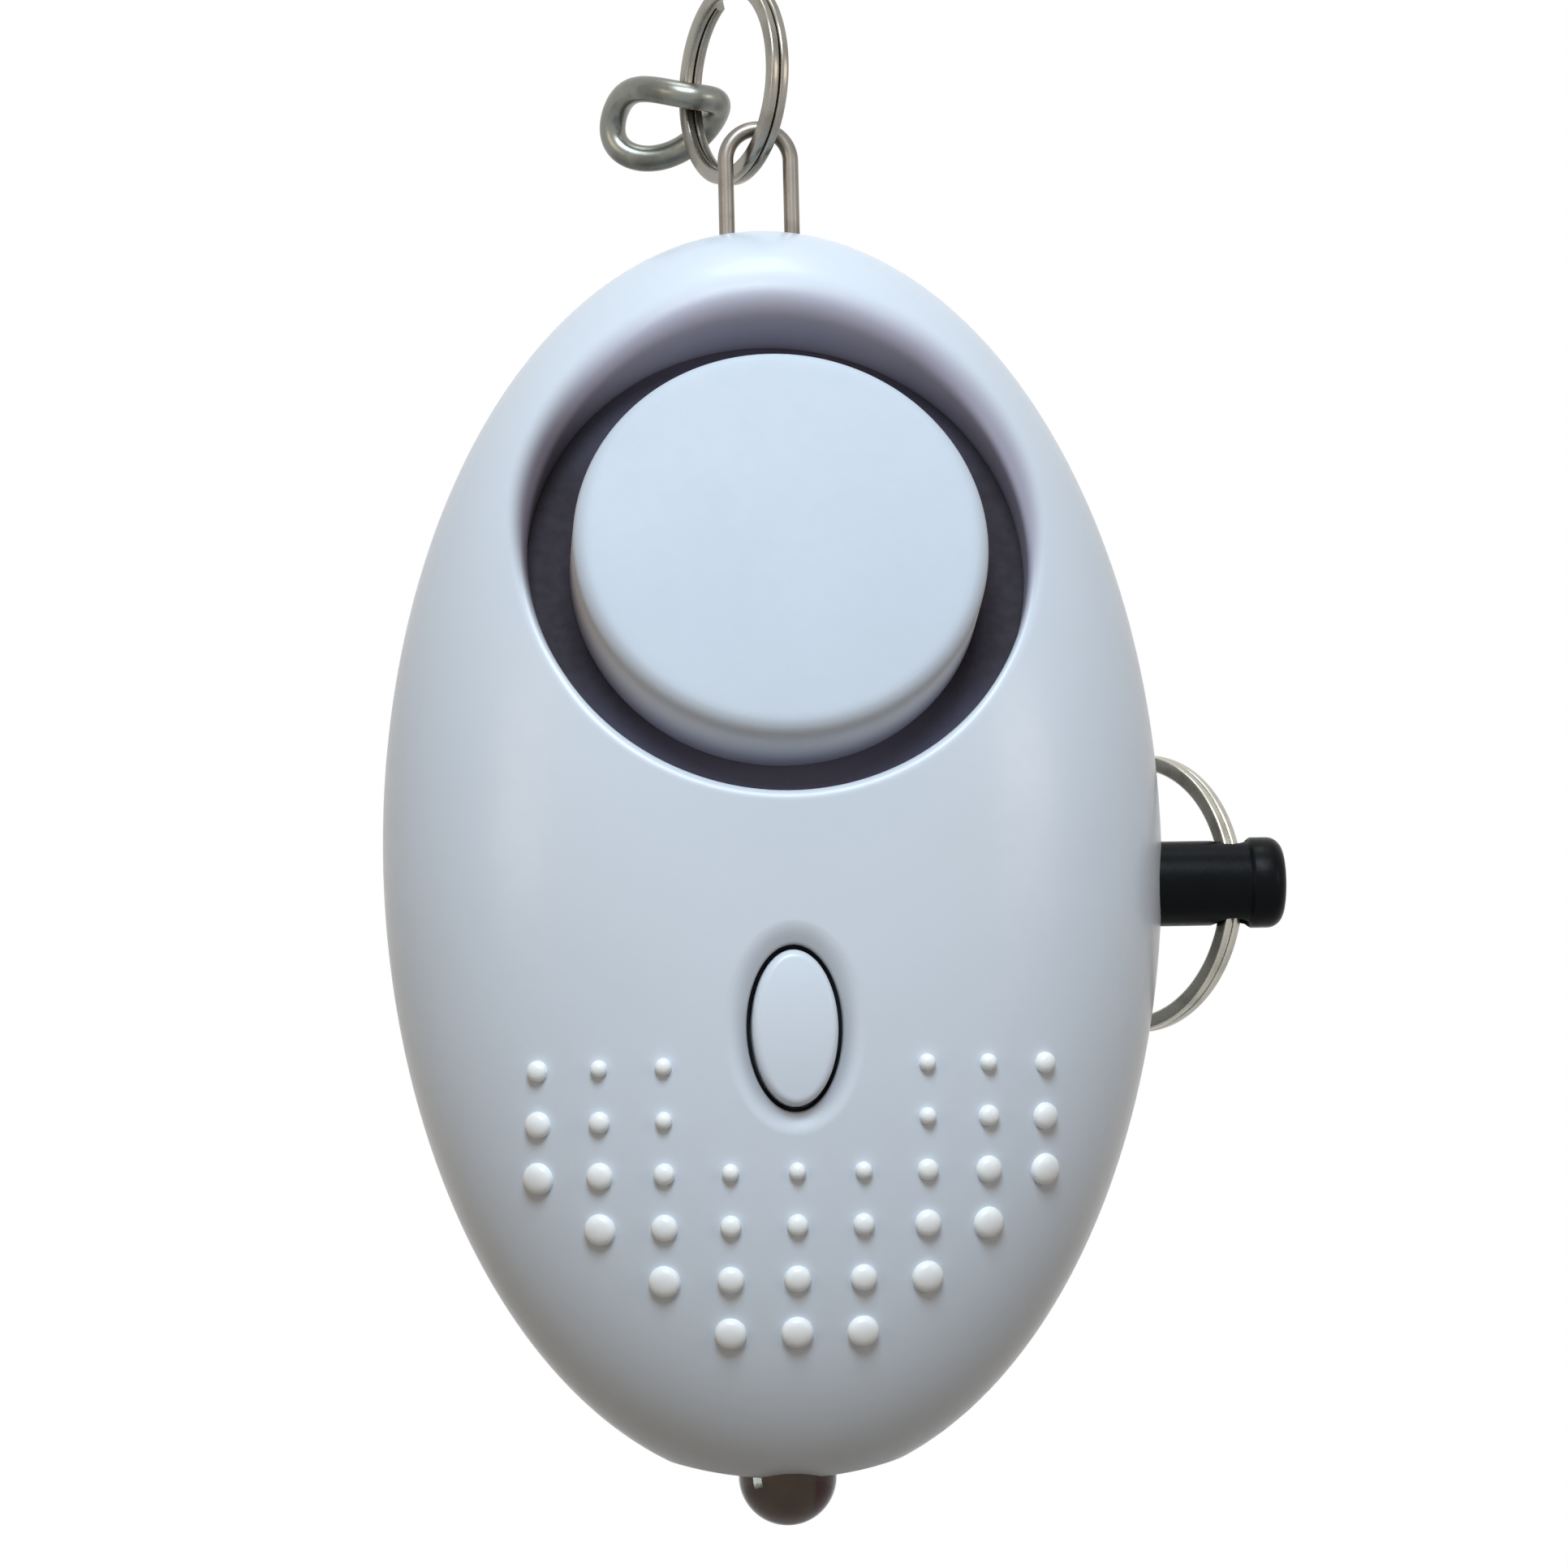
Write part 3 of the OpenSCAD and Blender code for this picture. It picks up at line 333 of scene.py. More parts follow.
@dataclass(frozen=True)
class FrontMoulding(Moulding):
    """Plastic of the front shell, with painted shade down the siren's well and a little painted shade round
    the button's dish.
    """

    # Painted shade of the well: dark where it lies deep in shade, and the lighter mauve on its top and lit
    # side.
    dark: Rgb = (0.09, 0.075, 0.097)
    mauve: Rgb = (0.375, 0.372, 0.46)
    well_r: float = 12.7
    lip_w: Spot = (0.35, 1.9)
    lip_dark: float = 0.4
    dull: float = 0.75
    wall: Spot = (-6.6, -4.4)
    # Ranges of the way up round the well, from -1 at its bottom to 1 at its top.
    lip_rise: Spot = (-0.5, 1.0)
    dark_rise: Spot = (-0.2, 0.45)
    well_rise: Spot = (-0.7, 0.0)
    high_rise: Spot = (0.45, 0.98)
    # Range of the way towards the lit side of the well, whose upper wall gets the lighter painted shade.
    bright_side: Spot = (0.3, 0.9)
    bright_share: float = 0.8
    origin: Triple = (0.0, 0.0, 0.0)
    axis: Triple = (0.0, -1.0, 0.0)
    upward: Triple = (0.0, 0.0, 1.0)
    bright: Triple = (1.0, 0.0, 0.0)
    # Painted shade round the button's hole, which fades out across its dish.
    dish_shade: Rgb = (0.33, 0.35, 0.38)
    dish_shade_share: float = 0.75
    dish_shade_w: float = 0.95
    oval: Spot = (2.4, 4.15)
    oval_at: Spot = (0.0, 0.0)

    def mixed(self) -> Paint:
        """Adds the painted shade of the well and of the button's dish to the plastic.

        Returns:
            The paint.
        """
        paint = super().mixed()
        well, high = self.well(paint)
        plain, shine = paint.fed("Base Color"), paint.fed("Roughness")
        dish_shaded = paint.mix(self.dish(paint) * self.dish_shade_share, plain, self.dish_shade)
        paint.wear(
            Base_Color=paint.mix(well, dish_shaded, paint.mix(high, self.dark, self.mauve)),
            Roughness=shine + (self.dull - shine) * well,
            Coat_Weight=(1 - well) * self.coat,
        )
        return paint

    def well(self, paint: Paint) -> tuple[Value, Value]:
        """Where shade is painted into the well.

        Args:
            paint: The paint that it is for.

        Returns:
            The share of the painted shade, from 0 on the skin and in the lower part to 1 down the upper wall,
            and how much of it is the lighter shade, which the top and the lit side of the well have.
        """
        offset = paint.offset(self.origin)
        depth = paint.along_line(offset, self.axis)
        rise = paint.along_line(offset, self.upward)
        length = paint.node("ShaderNodeVectorMath", {0: offset}, operation="LENGTH")
        span = paint.value(length, "Value")
        reach = (span * span - depth * depth).maths("MAXIMUM", LEAST_AREA).maths("SQRT")
        around = rise / reach
        lip = around.between(*self.lip_rise).spread(*self.lip_w)
        beside = (paint.along_line(offset, self.bright) / reach).between(*self.bright_side)
        pale = around.between(*self.high_rise).maths("MAXIMUM", beside * self.bright_share)
        high = depth.between(*self.wall) * pale
        away = reach - self.well_r - around.between(*self.dark_rise) * self.lip_dark
        return (1 - (away / lip).between(0.0, 1.0)) * around.between(*self.well_rise), high

    def dish(self, paint: Paint) -> Value:
        """Where shade is painted round the button's dish.

        Args:
            paint: The paint that it is for.

        Returns:
            The share of painted shade, from 1 at the edge of the button's hole to 0 at the edge of its dish.
        """
        half_w, half_h = self.oval
        across = (paint.along("X") - self.oval_at[0]) / half_w
        along = (paint.along("Z") - self.oval_at[1]) / half_h
        size = (across * across + along * along).maths("SQRT")
        steep = across * across / half_w**2 + along * along / half_h**2
        away = (size - 1.0) * size / steep.maths("SQRT")
        return 1 - (away / self.dish_shade_w).between(0.0, 1.0)


@dataclass(frozen=True)
class CapMoulding(Moulding):
    """Plastic of the siren's cap, with painted light on its wall under the rim and painted shade towards its
    foot.
    """

    # Painted light under the rim and painted shade at the foot of the cap's wall.
    pale: Rgb = (0.9, 0.94, 1.0)
    dark: Rgb = (0.32, 0.32, 0.4)
    rim: Spot = (-2.2, -0.6)
    foot: float = -5.3
    origin: Triple = (0.0, 0.0, 0.0)
    axis: Triple = (0.0, -1.0, 0.0)

    def mixed(self) -> Paint:
        """Adds the painted light and shade of the wall to the plastic.

        Returns:
            The paint.
        """
        paint = super().mixed()
        depth = paint.along_line(paint.offset(self.origin), self.axis)
        wall = paint.mix(depth.between(self.foot, self.rim[0]), self.dark, self.pale)
        paint.wear(Base_Color=paint.mix(depth.between(*self.rim), wall, paint.fed("Base Color")))
        return paint


@dataclass(frozen=True)
class LitCloth(Moulding):
    """Cloth over the sound holes, with painted light at the top and at the bottom of the groove, where the
    cloth lies in shade.
    """

    # Painted light that offsets the shade on the cloth at the top and the bottom of the groove.
    cloth_light: Rgb = (0.105, 0.102, 0.142)
    cloth_light_range: Spot = (0.35, 0.9)
    ring_r: float = 11.6
    origin: Triple = (0.0, 0.0, 0.0)
    upward: Triple = (0.0, 0.0, 1.0)

    def mixed(self) -> Paint:
        """Adds the painted light to the cloth.

        Returns:
            The paint.
        """
        paint = super().mixed()
        rise = paint.along_line(paint.offset(self.origin), self.upward) / self.ring_r
        lit_share = rise.maths("ABSOLUTE").between(*self.cloth_light_range)
        paint.wear(Base_Color=paint.mix(lit_share, paint.fed("Base Color"), self.cloth_light))
        return paint


@dataclass(frozen=True)
class Metal(Finish):
    """Drawn or stamped metal: hairline scratches, cloudy shine and a little tarnish."""

    base: Rgb
    tarnish: Rgb
    shine: Spot = (0.18, 0.36)
    hairline: float = 0.12
    stretch: Triple = (1.0, 1.0, 12.0)
    dullness: float = 0.45
    cloud: float = 1.8
    stain_range: Spot = (0.42, 0.72)
    scratch_share: float = 0.4
    scratch_depth: float = 0.004
    bumpiness: float = 0.35

    def mixed(self) -> Paint:
        """Mixes the metal.

        Returns:
            The paint.
        """
        paint = Paint(self.name)
        scratches = paint.noise(self.hairline, 2.0, self.stretch)
        clouds = paint.noise(self.cloud, detail=4.0)
        stain = clouds.between(*self.stain_range) * self.dullness
        worn = scratches * self.scratch_share + clouds * (1 - self.scratch_share)
        paint.wear(
            Base_Color=paint.mix(stain, self.base, self.tarnish),
            Metallic=1.0,
            Roughness=worn.spread(*self.shine),
        )
        paint.bump(scratches, self.scratch_depth, self.bumpiness)
        return paint


@dataclass(frozen=True)
class ClearLens(Finish):
    """Clear cast resin with a dark tint and a wavy skin, and a painted dark red reflection on one side. The
    dark tint is painted shade for the dark inside of the case seen through it.
    """

    base: Rgb
    haze: Rgb
    red_reflection: Rgb
    red_reflection_at: float = 0.0
    red_reflection_soft: float = 0.35
    cloud: float = 1.2
    haze_range: Spot = (0.35, 0.7)
    shine: Spot = (0.02, 0.07)
    index: float = 1.33
    wave: float = 0.9
    wave_depth: float = 0.01
    waviness: float = 0.06

    def mixed(self) -> Paint:
        """Mixes the resin.

        Returns:
            The paint.
        """
        paint = Paint(self.name)
        cloud = paint.noise(self.cloud, detail=2.0)
        resin = paint.mix(cloud.between(*self.haze_range), self.base, self.haze)
        # Painted dark red reflection on the right side of the lens.
        side = paint.along("X").between(self.red_reflection_at, self.red_reflection_at + self.red_reflection_soft)
        paint.wear(
            Base_Color=paint.mix(side, resin, self.red_reflection),
            Roughness=cloud.spread(*self.shine),
            Transmission_Weight=1.0,
            IOR=self.index,
        )
        paint.bump(paint.noise(self.wave, detail=1.0), self.wave_depth, self.waviness)
        return paint


@dataclass(frozen=True)
class BoardLacquer(Finish):
    """Solder lacquer over copper tracks that show as paler lines."""

    base: Rgb
    track: Rgb
    pitch: float = 1.4
    drift: float = 3.0
    drift_size: float = 6.0
    track_range: Spot = (0.55, 0.7)
    track_depth: float = 0.03
    bumpiness: float = 0.4
    cloud: float = 2.0
    shine: Spot = (0.3, 0.5)

    def mixed(self) -> Paint:
        """Mixes the lacquer.

        Returns:
            The paint.
        """
        paint = Paint(self.name)
        drift = paint.noise(self.drift_size, detail=1.0) * self.drift
        lines = (paint.along("X") + drift).maths("PINGPONG", self.pitch / 2) / (self.pitch / 2)
        tracks = lines.between(*self.track_range)
        paint.wear(
            Base_Color=paint.mix(tracks, self.base, self.track),
            Roughness=paint.noise(self.cloud).spread(*self.shine),
        )
        paint.bump(tracks, self.track_depth, self.bumpiness)
        return paint


@dataclass(frozen=True)
class WireSleeve(Finish):
    """Sleeves of a pair of wires, of one colour on the inner one and of another on the outer one."""

    inner: Rgb
    outer: Rgb
    parting: float
    slope: float = 0.47
    soft: float = 0.1
    cloud: float = 0.6
    shine: Spot = (0.4, 0.6)
    grain: float = 0.3
    grain_depth: float = 0.01
    bumpiness: float = 0.3

    def mixed(self) -> Paint:
        """Mixes the two sleeves.

        Returns:
            The paint.
        """
        paint = Paint(self.name)
        across = paint.along("X") - paint.along("Z") * self.slope
        apart = across.between(self.parting - self.soft, self.parting + self.soft)
        paint.wear(
            Base_Color=paint.mix(apart, self.outer, self.inner),
            Roughness=paint.noise(self.cloud).spread(*self.shine),
        )
        paint.bump(paint.noise(self.grain), self.grain_depth, self.bumpiness)
        return paint


WHITE_CASE = Moulding(
    "white_case", "white_plastic", (0.66, 0.74, 0.83), (0.64, 0.72, 0.80), (0.3, 0.38), coat=0.12, gloss=0.4
)
# A little darker than the case's plastic to offset the light that the upward-tilted disc catches: painted
# shade.
WHITE_CAP = Moulding(
    "white_cap", "white_plastic", (0.58, 0.665, 0.755), (0.565, 0.645, 0.735), (0.5, 0.6), gloss=0.2
)
# Whiter than the case's plastic, standing in for the light that the raised dots catch: painted light.
WHITE_DOT = Moulding(
    "white_dot", "white_plastic", (0.93, 0.985, 1.0), (0.9, 0.96, 0.99), (0.28, 0.36), gloss=0.5
)
DARK_FLOOR = Moulding(
    "dark_floor", "dark_plastic", (0.03, 0.028, 0.036), (0.04, 0.037, 0.047), (0.45, 0.6), gloss=0.3
)
CLOTH_GRAIN = {"blotch": 0.6, "grain": 0.12, "grain_depth": 0.03, "gloss": 0.1}
# Dark cloth over the sound holes; its finish paints light at the top and the bottom of the groove.
DUST_CLOTH = LitCloth(
    "dust_cloth", "dark_plastic", (0.05, 0.044, 0.054), (0.041, 0.036, 0.045), (0.7, 0.9), **CLOTH_GRAIN
)
PIN_GRAIN = {"blotch": 3.0, "grain": 0.25, "grain_depth": 0.012, "gloss": 0.07}
BLACK_PIN = Moulding(
    "black_pin", "black_plastic", (0.0015, 0.002, 0.0025), (0.003, 0.004, 0.005), (0.26, 0.42), **PIN_GRAIN
)
GREY_PLUNGER = Moulding("grey_plunger", "grey_plastic", (0.5, 0.5, 0.5), (0.44, 0.44, 0.45), (0.4, 0.5))
# Near-black ring low in the button's gap: painted shade that darkens the gap.
GAP_SHADE = Moulding("seal", "gasket_rubber", (0.008, 0.008, 0.009), (0.012, 0.012, 0.013), (0.7, 0.85), gloss=0.1)
GASKET = Moulding("gasket", "gasket_rubber", (0.03, 0.03, 0.03), (0.045, 0.045, 0.043), (0.7, 0.85))
CERAMIC = Moulding("ceramic", "piezo_ceramic", (0.78, 0.75, 0.66), (0.7, 0.67, 0.58), (0.6, 0.75))
FERRITE = Moulding(
    "ferrite", "ferrite", (0.05, 0.045, 0.05), (0.07, 0.065, 0.07), (0.55, 0.7), grain_depth=0.02
)
CHIP_CERAMIC = Moulding(
    "chip_ceramic", "chip_ceramic", (0.42, 0.33, 0.2), (0.36, 0.29, 0.19), (0.5, 0.6), blotch=0.8
)
RING_STEEL = Metal("ring_steel", "ring_steel", (0.3, 0.285, 0.25), (0.13, 0.115, 0.09))
PIN_RING_STEEL = Metal("pin_ring_steel", "ring_steel", (0.5, 0.48, 0.42), (0.2, 0.17, 0.13))
LINK_STEEL = Metal(
    "link_steel", "ring_steel", (0.22, 0.225, 0.2), (0.09, 0.09, 0.075), (0.22, 0.42), dullness=0.7
)
BAIL_STEEL = Metal("bail_steel", "ring_steel", (0.23, 0.21, 0.185), (0.12, 0.1, 0.08), (0.28, 0.45))
SCREW_STEEL = Metal("screw_steel", "screw_steel", (0.36, 0.36, 0.37), (0.2, 0.19, 0.18), (0.25, 0.4))
CELL_STEEL = Metal(
    "cell_steel", "cell_steel", (0.66, 0.66, 0.67), (0.5, 0.5, 0.5), (0.16, 0.28), 0.2, (1.0, 8.0, 8.0), 0.3
)
LEAD_STEEL = Metal("lead_steel", "tinned_steel", (0.6, 0.6, 0.58), (0.4, 0.4, 0.38), (0.3, 0.45))
BRASS = Metal("brass", "brass", (0.72, 0.53, 0.22), (0.42, 0.27, 0.1), (0.25, 0.4))
COPPER = Metal(
    "copper", "copper_wire", (0.5, 0.19, 0.07), (0.3, 0.1, 0.04), (0.2, 0.35), 0.2, (8.0, 0.6, 8.0)
)
# The dark brown tint is painted shade for the dark inside of the case seen through the lens; the third colour
# is its painted red reflection.
LENS = ClearLens("lens", "clear_lens", (0.034, 0.02, 0.011), (0.022, 0.013, 0.007), (0.012, 0.0005, 0.0005))
BOARD = BoardLacquer("board", "board_green", (0.02, 0.12, 0.045), (0.05, 0.22, 0.08))
SLEEVES = WireSleeve("sleeves", "wire_sleeve", (0.4, 0.025, 0.02), (0.02, 0.02, 0.022), -0.9)

NODE_FINISHES = {
    "sound_ring": DARK_FLOOR,
    "piezo_plate": BRASS,
    "piezo_ceramic": CERAMIC,
    "piezo_gasket": GASKET,
    "piezo_wires": SLEEVES,
    "push_switch": DARK_FLOOR,
    "switch_plunger": GREY_PLUNGER,
    "lamp_leads": LEAD_STEEL,
    "circuit_board": BOARD,
    "driver_chip": DARK_FLOOR,
    "boost_coil": COPPER,
    "coil_core": FERRITE,
    "drive_transistor": DARK_FLOOR,
    "chip_parts": CHIP_CERAMIC,
    "battery_cradle": DARK_FLOOR,
    "battery_cells": CELL_STEEL,
    "battery_plate": BRASS,
    "battery_spring": BRASS,
    "pin_socket": DARK_FLOOR,
    "contact_upper": BRASS,
    "contact_lower": BRASS,
}


def placed(name: str, data: Any) -> Thing:
    """Puts a mesh, a light or a camera into the scene.

    Args:
        name: The object's name.
        data: What the object shows.

    Returns:
        The object.
    """
    made = bpy.data.objects.new(name, data)
    bpy.context.scene.collection.objects.link(made)
    return made


class Workshop:
    """Paints each finish once, and turns finished meshes into pieces that ride on their bodies."""

    def __init__(self, middle: Vector) -> None:
        """Takes the middle of the case in the part's frame, in metres."""
        self.middle = middle
        self.paints: dict[str, bpy.types.Material] = {}

    def coat(self, mesh: Mesh, finish: Finish) -> None:
        """Gives a mesh its finish.

        Args:
            mesh: The mesh.
            finish: The finish, whose material is made the first time that it is used.
        """
        if finish.name not in self.paints:
            self.paints[finish.name] = finish.paint()
        mesh.materials.clear()
        mesh.materials.append(self.paints[finish.name])

    def piece(self, name: str, mesh: Mesh, finish: Finish, body: str, replaced: str = "") -> Thing:
        """Makes a piece of a mesh.

        Args:
            name: The piece's name.
            mesh: Its mesh, in millimetres about the middle of the case.
            finish: What it is finished with.
            body: The body that it rides on.
            replaced: The node that it stands for, if there is one.

        Returns:
            The piece's object.
        """
        mesh.name = name
        self.coat(mesh, finish)
        mesh.polygons.foreach_set("use_smooth", [True] * len(mesh.polygons))
        mesh.set_sharp_from_angle(angle=CREASE)
        mesh.transform(Matrix.Translation(self.middle) @ Matrix.Scale(MM, 4))
        made = placed(name, mesh)
        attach(made, body)
        if replaced:
            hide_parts(replaced)
        LOG.info("%s: %d faces on %s", name, len(mesh.polygons), body)
        return made

    def dress_nodes(self, nodes: dict[str, Thing]) -> None:
        """Gives the nodes that stay in view their finishes.

        Args:
            nodes: All nodes by their names.
        """
        for name, finish in NODE_FINISHES.items():
            self.coat(nodes[name].data, finish)
            LOG.info("%s: finished as %s", name, finish.name)


def spin(count: int) -> list[float]:
    """Angles of a full turn in equal steps, in radians."""
    return [tau * i / count for i in range(count)]


def eased(share: float) -> float:
    """Smooth rise from 0 to 1."""
    share = min(1.0, max(0.0, share))
    return share * share * (3 - 2 * share)


def quarter_round(radius: float, steps: int) -> list[Spot]:
    """Run and fall of a rounded edge, step by step over a quarter turn."""
    turns = [radians(90 * k / steps) for k in range(steps + 1)]
    return [(radius * sin(a), radius * (1 - cos(a))) for a in turns]


def oval_points(half_w: float, half_h: float, y: float, count: int) -> list[Vector]:
    """Points of an upright oval about the middle, at one depth."""
    return [Vector((half_w * cos(a), y, half_h * sin(a))) for a in spin(count)]


def turn(angle: float, axis: str) -> Matrix:
    """Turn in degrees about an axis through the origin."""
    return Matrix.Rotation(radians(angle), 4, axis)


def inside(spots: np.ndarray, outline: np.ndarray) -> np.ndarray:
    """Which spots lie inside a closed outline.

    Args:
        spots: Points of the plane, one a row.
        outline: Corners of the outline, one a row.

    Returns:
        True for each spot inside.
    """
    hit = np.zeros(len(spots), bool)
    for (x0, y0), (x1, y1) in zip(outline, np.roll(outline, -1, axis=0)):
        if y0 == y1:
            continue
        cross = (x1 - x0) * (spots[:, 1] - y0) / (y1 - y0) + x0
        hit ^= ((y0 > spots[:, 1]) != (y1 > spots[:, 1])) & (spots[:, 0] < cross)
    return hit


@dataclass
class Egg:
    """Form of the case: two bulges on an oval outline."""

    half_w: float
    front_bulge: float
    rear_bulge: float
    half_len: float = 32.5
    fullness: float = 2.4
    wall: float = 1.6
    foot_flat: float = 0.5
    seam: float = 0.1

    @classmethod
    def from_frame(cls) -> tuple[Egg, Vector]:
        """Reads the form off the packed shells.

        Returns:
            The form, and the middle of the case in metres.
        """
        low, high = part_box("front_shell")
        rear_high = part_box("rear_shell")[1]
        egg = cls((high.x - low.x) / 2 / MM, (high.y - low.y) / MM, (rear_high.y - high.y) / MM)
        return egg, Vector(((low.x + high.x) / 2, high.y, high.z - egg.half_len * MM))

    def bulge(self, side: Side) -> float:
        """Depth of one half at its pole."""
        return self.front_bulge if side is Side.FRONT else self.rear_bulge

    def share(self, x: float, z: float, inset: float = 0.0) -> float:
        """Distance from the middle as a share of the outline's."""
        return hypot(x / (self.half_w - inset), z / (self.half_len - inset))

    def excess(self, side: Side, p: Vector, inset: float = 0.0) -> float:
        """Below zero inside one half of the egg, and above zero outside it."""
        depth = p.y * side.value / (self.bulge(side) - inset)
        return self.share(p.x, p.z, inset) ** self.fullness + copysign(depth * depth, depth) - 1

    def point(self, side: Side, x: float, z: float, inset: float = 0.0) -> Vector:
        """Point of the skin over a spot of the parting plane."""
        room = max(0.0, 1 - self.share(x, z, inset) ** self.fullness)
        return Vector((x, side.value * (self.bulge(side) - inset) * sqrt(room), z))

    def normal(self, side: Side, p: Vector) -> Vector:
        """Direction of the skin.

        Args:
            side: The half of the egg.
            p: A point of its skin.

        Returns:
            The outward direction at the point.
        """
        steep = self.fullness * max(self.share(p.x, p.z), TINY) ** (self.fullness - 2)
        deep = 2 * p.y / self.bulge(side) ** 2
        return Vector((steep * p.x / self.half_w**2, deep, steep * p.z / self.half_len**2)).normalized()

    def flatten(self, p: Vector, inset: float = 0.0) -> Spot:
        """Unrolls a point of the skin into a flat oval, so that steep parts keep their room.

        Args:
            p: The point.
            inset: Depth below the outer skin.

        Returns:
            Its spot on the flat oval.
        """
        rise = min(1.0, self.share(p.x, p.z, inset) ** (self.fullness / 2))
        reach = asin(rise) / QUARTER
        around = atan2(p.z / (self.half_len - inset), p.x / (self.half_w - inset))
        return reach * self.half_w * cos(around), reach * self.half_len * sin(around)

    def raise_up(self, side: Side, spot: Spot, inset: float = 0.0) -> Vector:
        """Turns a spot of the flat oval back into a point of the skin.

        Args:
            side: The half of the egg.
            spot: The spot.
            inset: Depth below the outer skin.

        Returns:
            The point.
        """
        u, v = spot[0] / self.half_w, spot[1] / self.half_len
        slope = min(1.0, hypot(u, v)) * QUARTER
        around = atan2(v, u)
        reach = sin(slope) ** (2 / self.fullness)
        depth = (self.bulge(side) - inset) * cos(slope)
        x = (self.half_w - inset) * reach * cos(around)
        return Vector((x, side.value * depth, (self.half_len - inset) * reach * sin(around)))

    def outline(self, count: int, inset: float, depth: float) -> list[Vector]:
        """Oval outline of the case at one depth."""
        return oval_points(self.half_w - inset, self.half_len - inset, depth, count)


class Solid:
    """Points and faces of a closed shape that grows ring by ring."""

    # Height of a row of even triangles and the room at an edge, as shares of the pitch.
    row_rise = sqrt(0.75)
    edge_room = 0.6
    far_spot = (1e6, 1e6)
    same_spot = 1e-7
    same_point = 1e-5

    def __init__(self) -> None:
        """Starts empty."""
        self.points: list[Vector] = []
        self.faces: list[tuple[int, ...]] = []

    def ring(self, points: Iterable[Vector]) -> list[int]:
        """Adds a closed ring of points.

        Args:
            points: The points.

        Returns:
            Their numbers.
        """
        first = len(self.points)
        self.points.extend(points)
        return list(range(first, len(self.points)))

    def flat_ring(self, spots: Iterable[Spot], y: float) -> list[int]:
        """Adds a closed ring of spots in X and Z, all at one depth."""
        return self.ring(Vector((x, y, z)) for x, z in spots)

    def wavy_ring(self, spots: Iterable[Spot], depths: Iterable[float]) -> list[int]:
        """Adds a closed ring of spots in X and Z, each at its own depth."""
        return self.ring(Vector((x, y, z)) for (x, z), y in zip(spots, depths))

    def bridge(self, *rings: Sequence[int]) -> None:
        """Joins rings one after the other.

        Args:
            rings: Rings of as many points.
        """
        for near, far in zip(rings, rings[1:]):
            for i in range(len(near)):
                j = (i + 1) % len(near)
                self.faces.append((near[i], near[j], far[j], far[i]))

    def close(self, ring: Sequence[int]) -> None:
        """Closes a ring with triangles to its middle.

        Args:
            ring: The ring.
        """
        middle = sum((self.points[i] for i in ring), Vector()) / len(ring)
        tip = self.ring([middle])[0]
        for i in range(len(ring)):
            self.faces.append((ring[i], ring[(i + 1) % len(ring)], tip))

    def skin(
        self,
        egg: Egg,
        side: Side,
        pitch: float,
        edge: Sequence[int],
        holes: Sequence[Sequence[int]] = (),
        extra: Sequence[Vector] = (),
        clear: float = 0.0,
    ) -> None:
        """Covers a stretch of the egg's skin with small triangles.

        Args:
            egg: The form.
            side: The half of it.
            pitch: Spacing of the points.
            edge: Ring round the stretch.
            holes: Rings that it leaves open.
            extra: Further points on it.
            clear: Room round the extra points that the regular ones leave.
        """
        borders = [list(edge), *map(list, holes)]
        outlines = [np.array([egg.flatten(self.points[i]) for i in ring]) for ring in borders]
        rows = np.arange(-egg.half_len, egg.half_len, pitch * self.row_rise)
        columns = np.arange(-egg.half_w, egg.half_w, pitch)
        spots = np.array([(x + pitch / 2 * (k % 2), z) for k, z in enumerate(rows) for x in columns])
        spots = spots[inside(spots, outlines[0])]
        for hole in outlines[1:]:
            spots = spots[~inside(spots, hole)]
        walls = np.array([egg.flatten(p) for p in extra] or [self.far_spot])
        for fence, room in ((np.vstack(outlines), pitch * self.edge_room), (walls, clear)):
            gap = np.array([np.min(np.hypot(*(fence - s).T)) for s in spots])
            spots = spots[gap > room]
        numbers = [i for ring in borders for i in ring]
        numbers += self.ring(extra)
        numbers += self.ring(egg.raise_up(side, tuple(s)) for s in spots)
        flat = np.vstack([*outlines, *([walls] if extra else []), spots])
        links, first = [], 0
        for ring in borders:
            count = len(ring)
            links += [(first + i, first + (i + 1) % count) for i in range(count)]
            first += count
        made = delaunay_2d_cdt([Vector(s) for s in flat], links, [], 0, self.same_spot)
        source = [origins[0] for origins in made[3]]
        corners = np.array([[source[i] for i in face] for face in made[2]])
        middles = flat[corners].mean(axis=1)
        kept = inside(middles, outlines[0])
        for hole in outlines[1:]:
            kept &= ~inside(middles, hole)
        self.faces += [tuple(numbers[i] for i in face) for face in corners[kept]]

    def mesh(self, name: str) -> Mesh:
        """Makes a mesh of the shape, with its faces turned outwards.

        Args:
            name: The mesh's name.

        Returns:
            The mesh.
        """
        made = bpy.data.meshes.new(name)
        made.from_pydata([tuple(p) for p in self.points], [], self.faces)
        shape = bmesh.new()
        shape.from_mesh(made)
        bmesh.ops.remove_doubles(shape, verts=shape.verts, dist=self.same_point)
        bmesh.ops.recalc_face_normals(shape, faces=shape.faces)
        shape.to_mesh(made)
        shape.free()
        return made


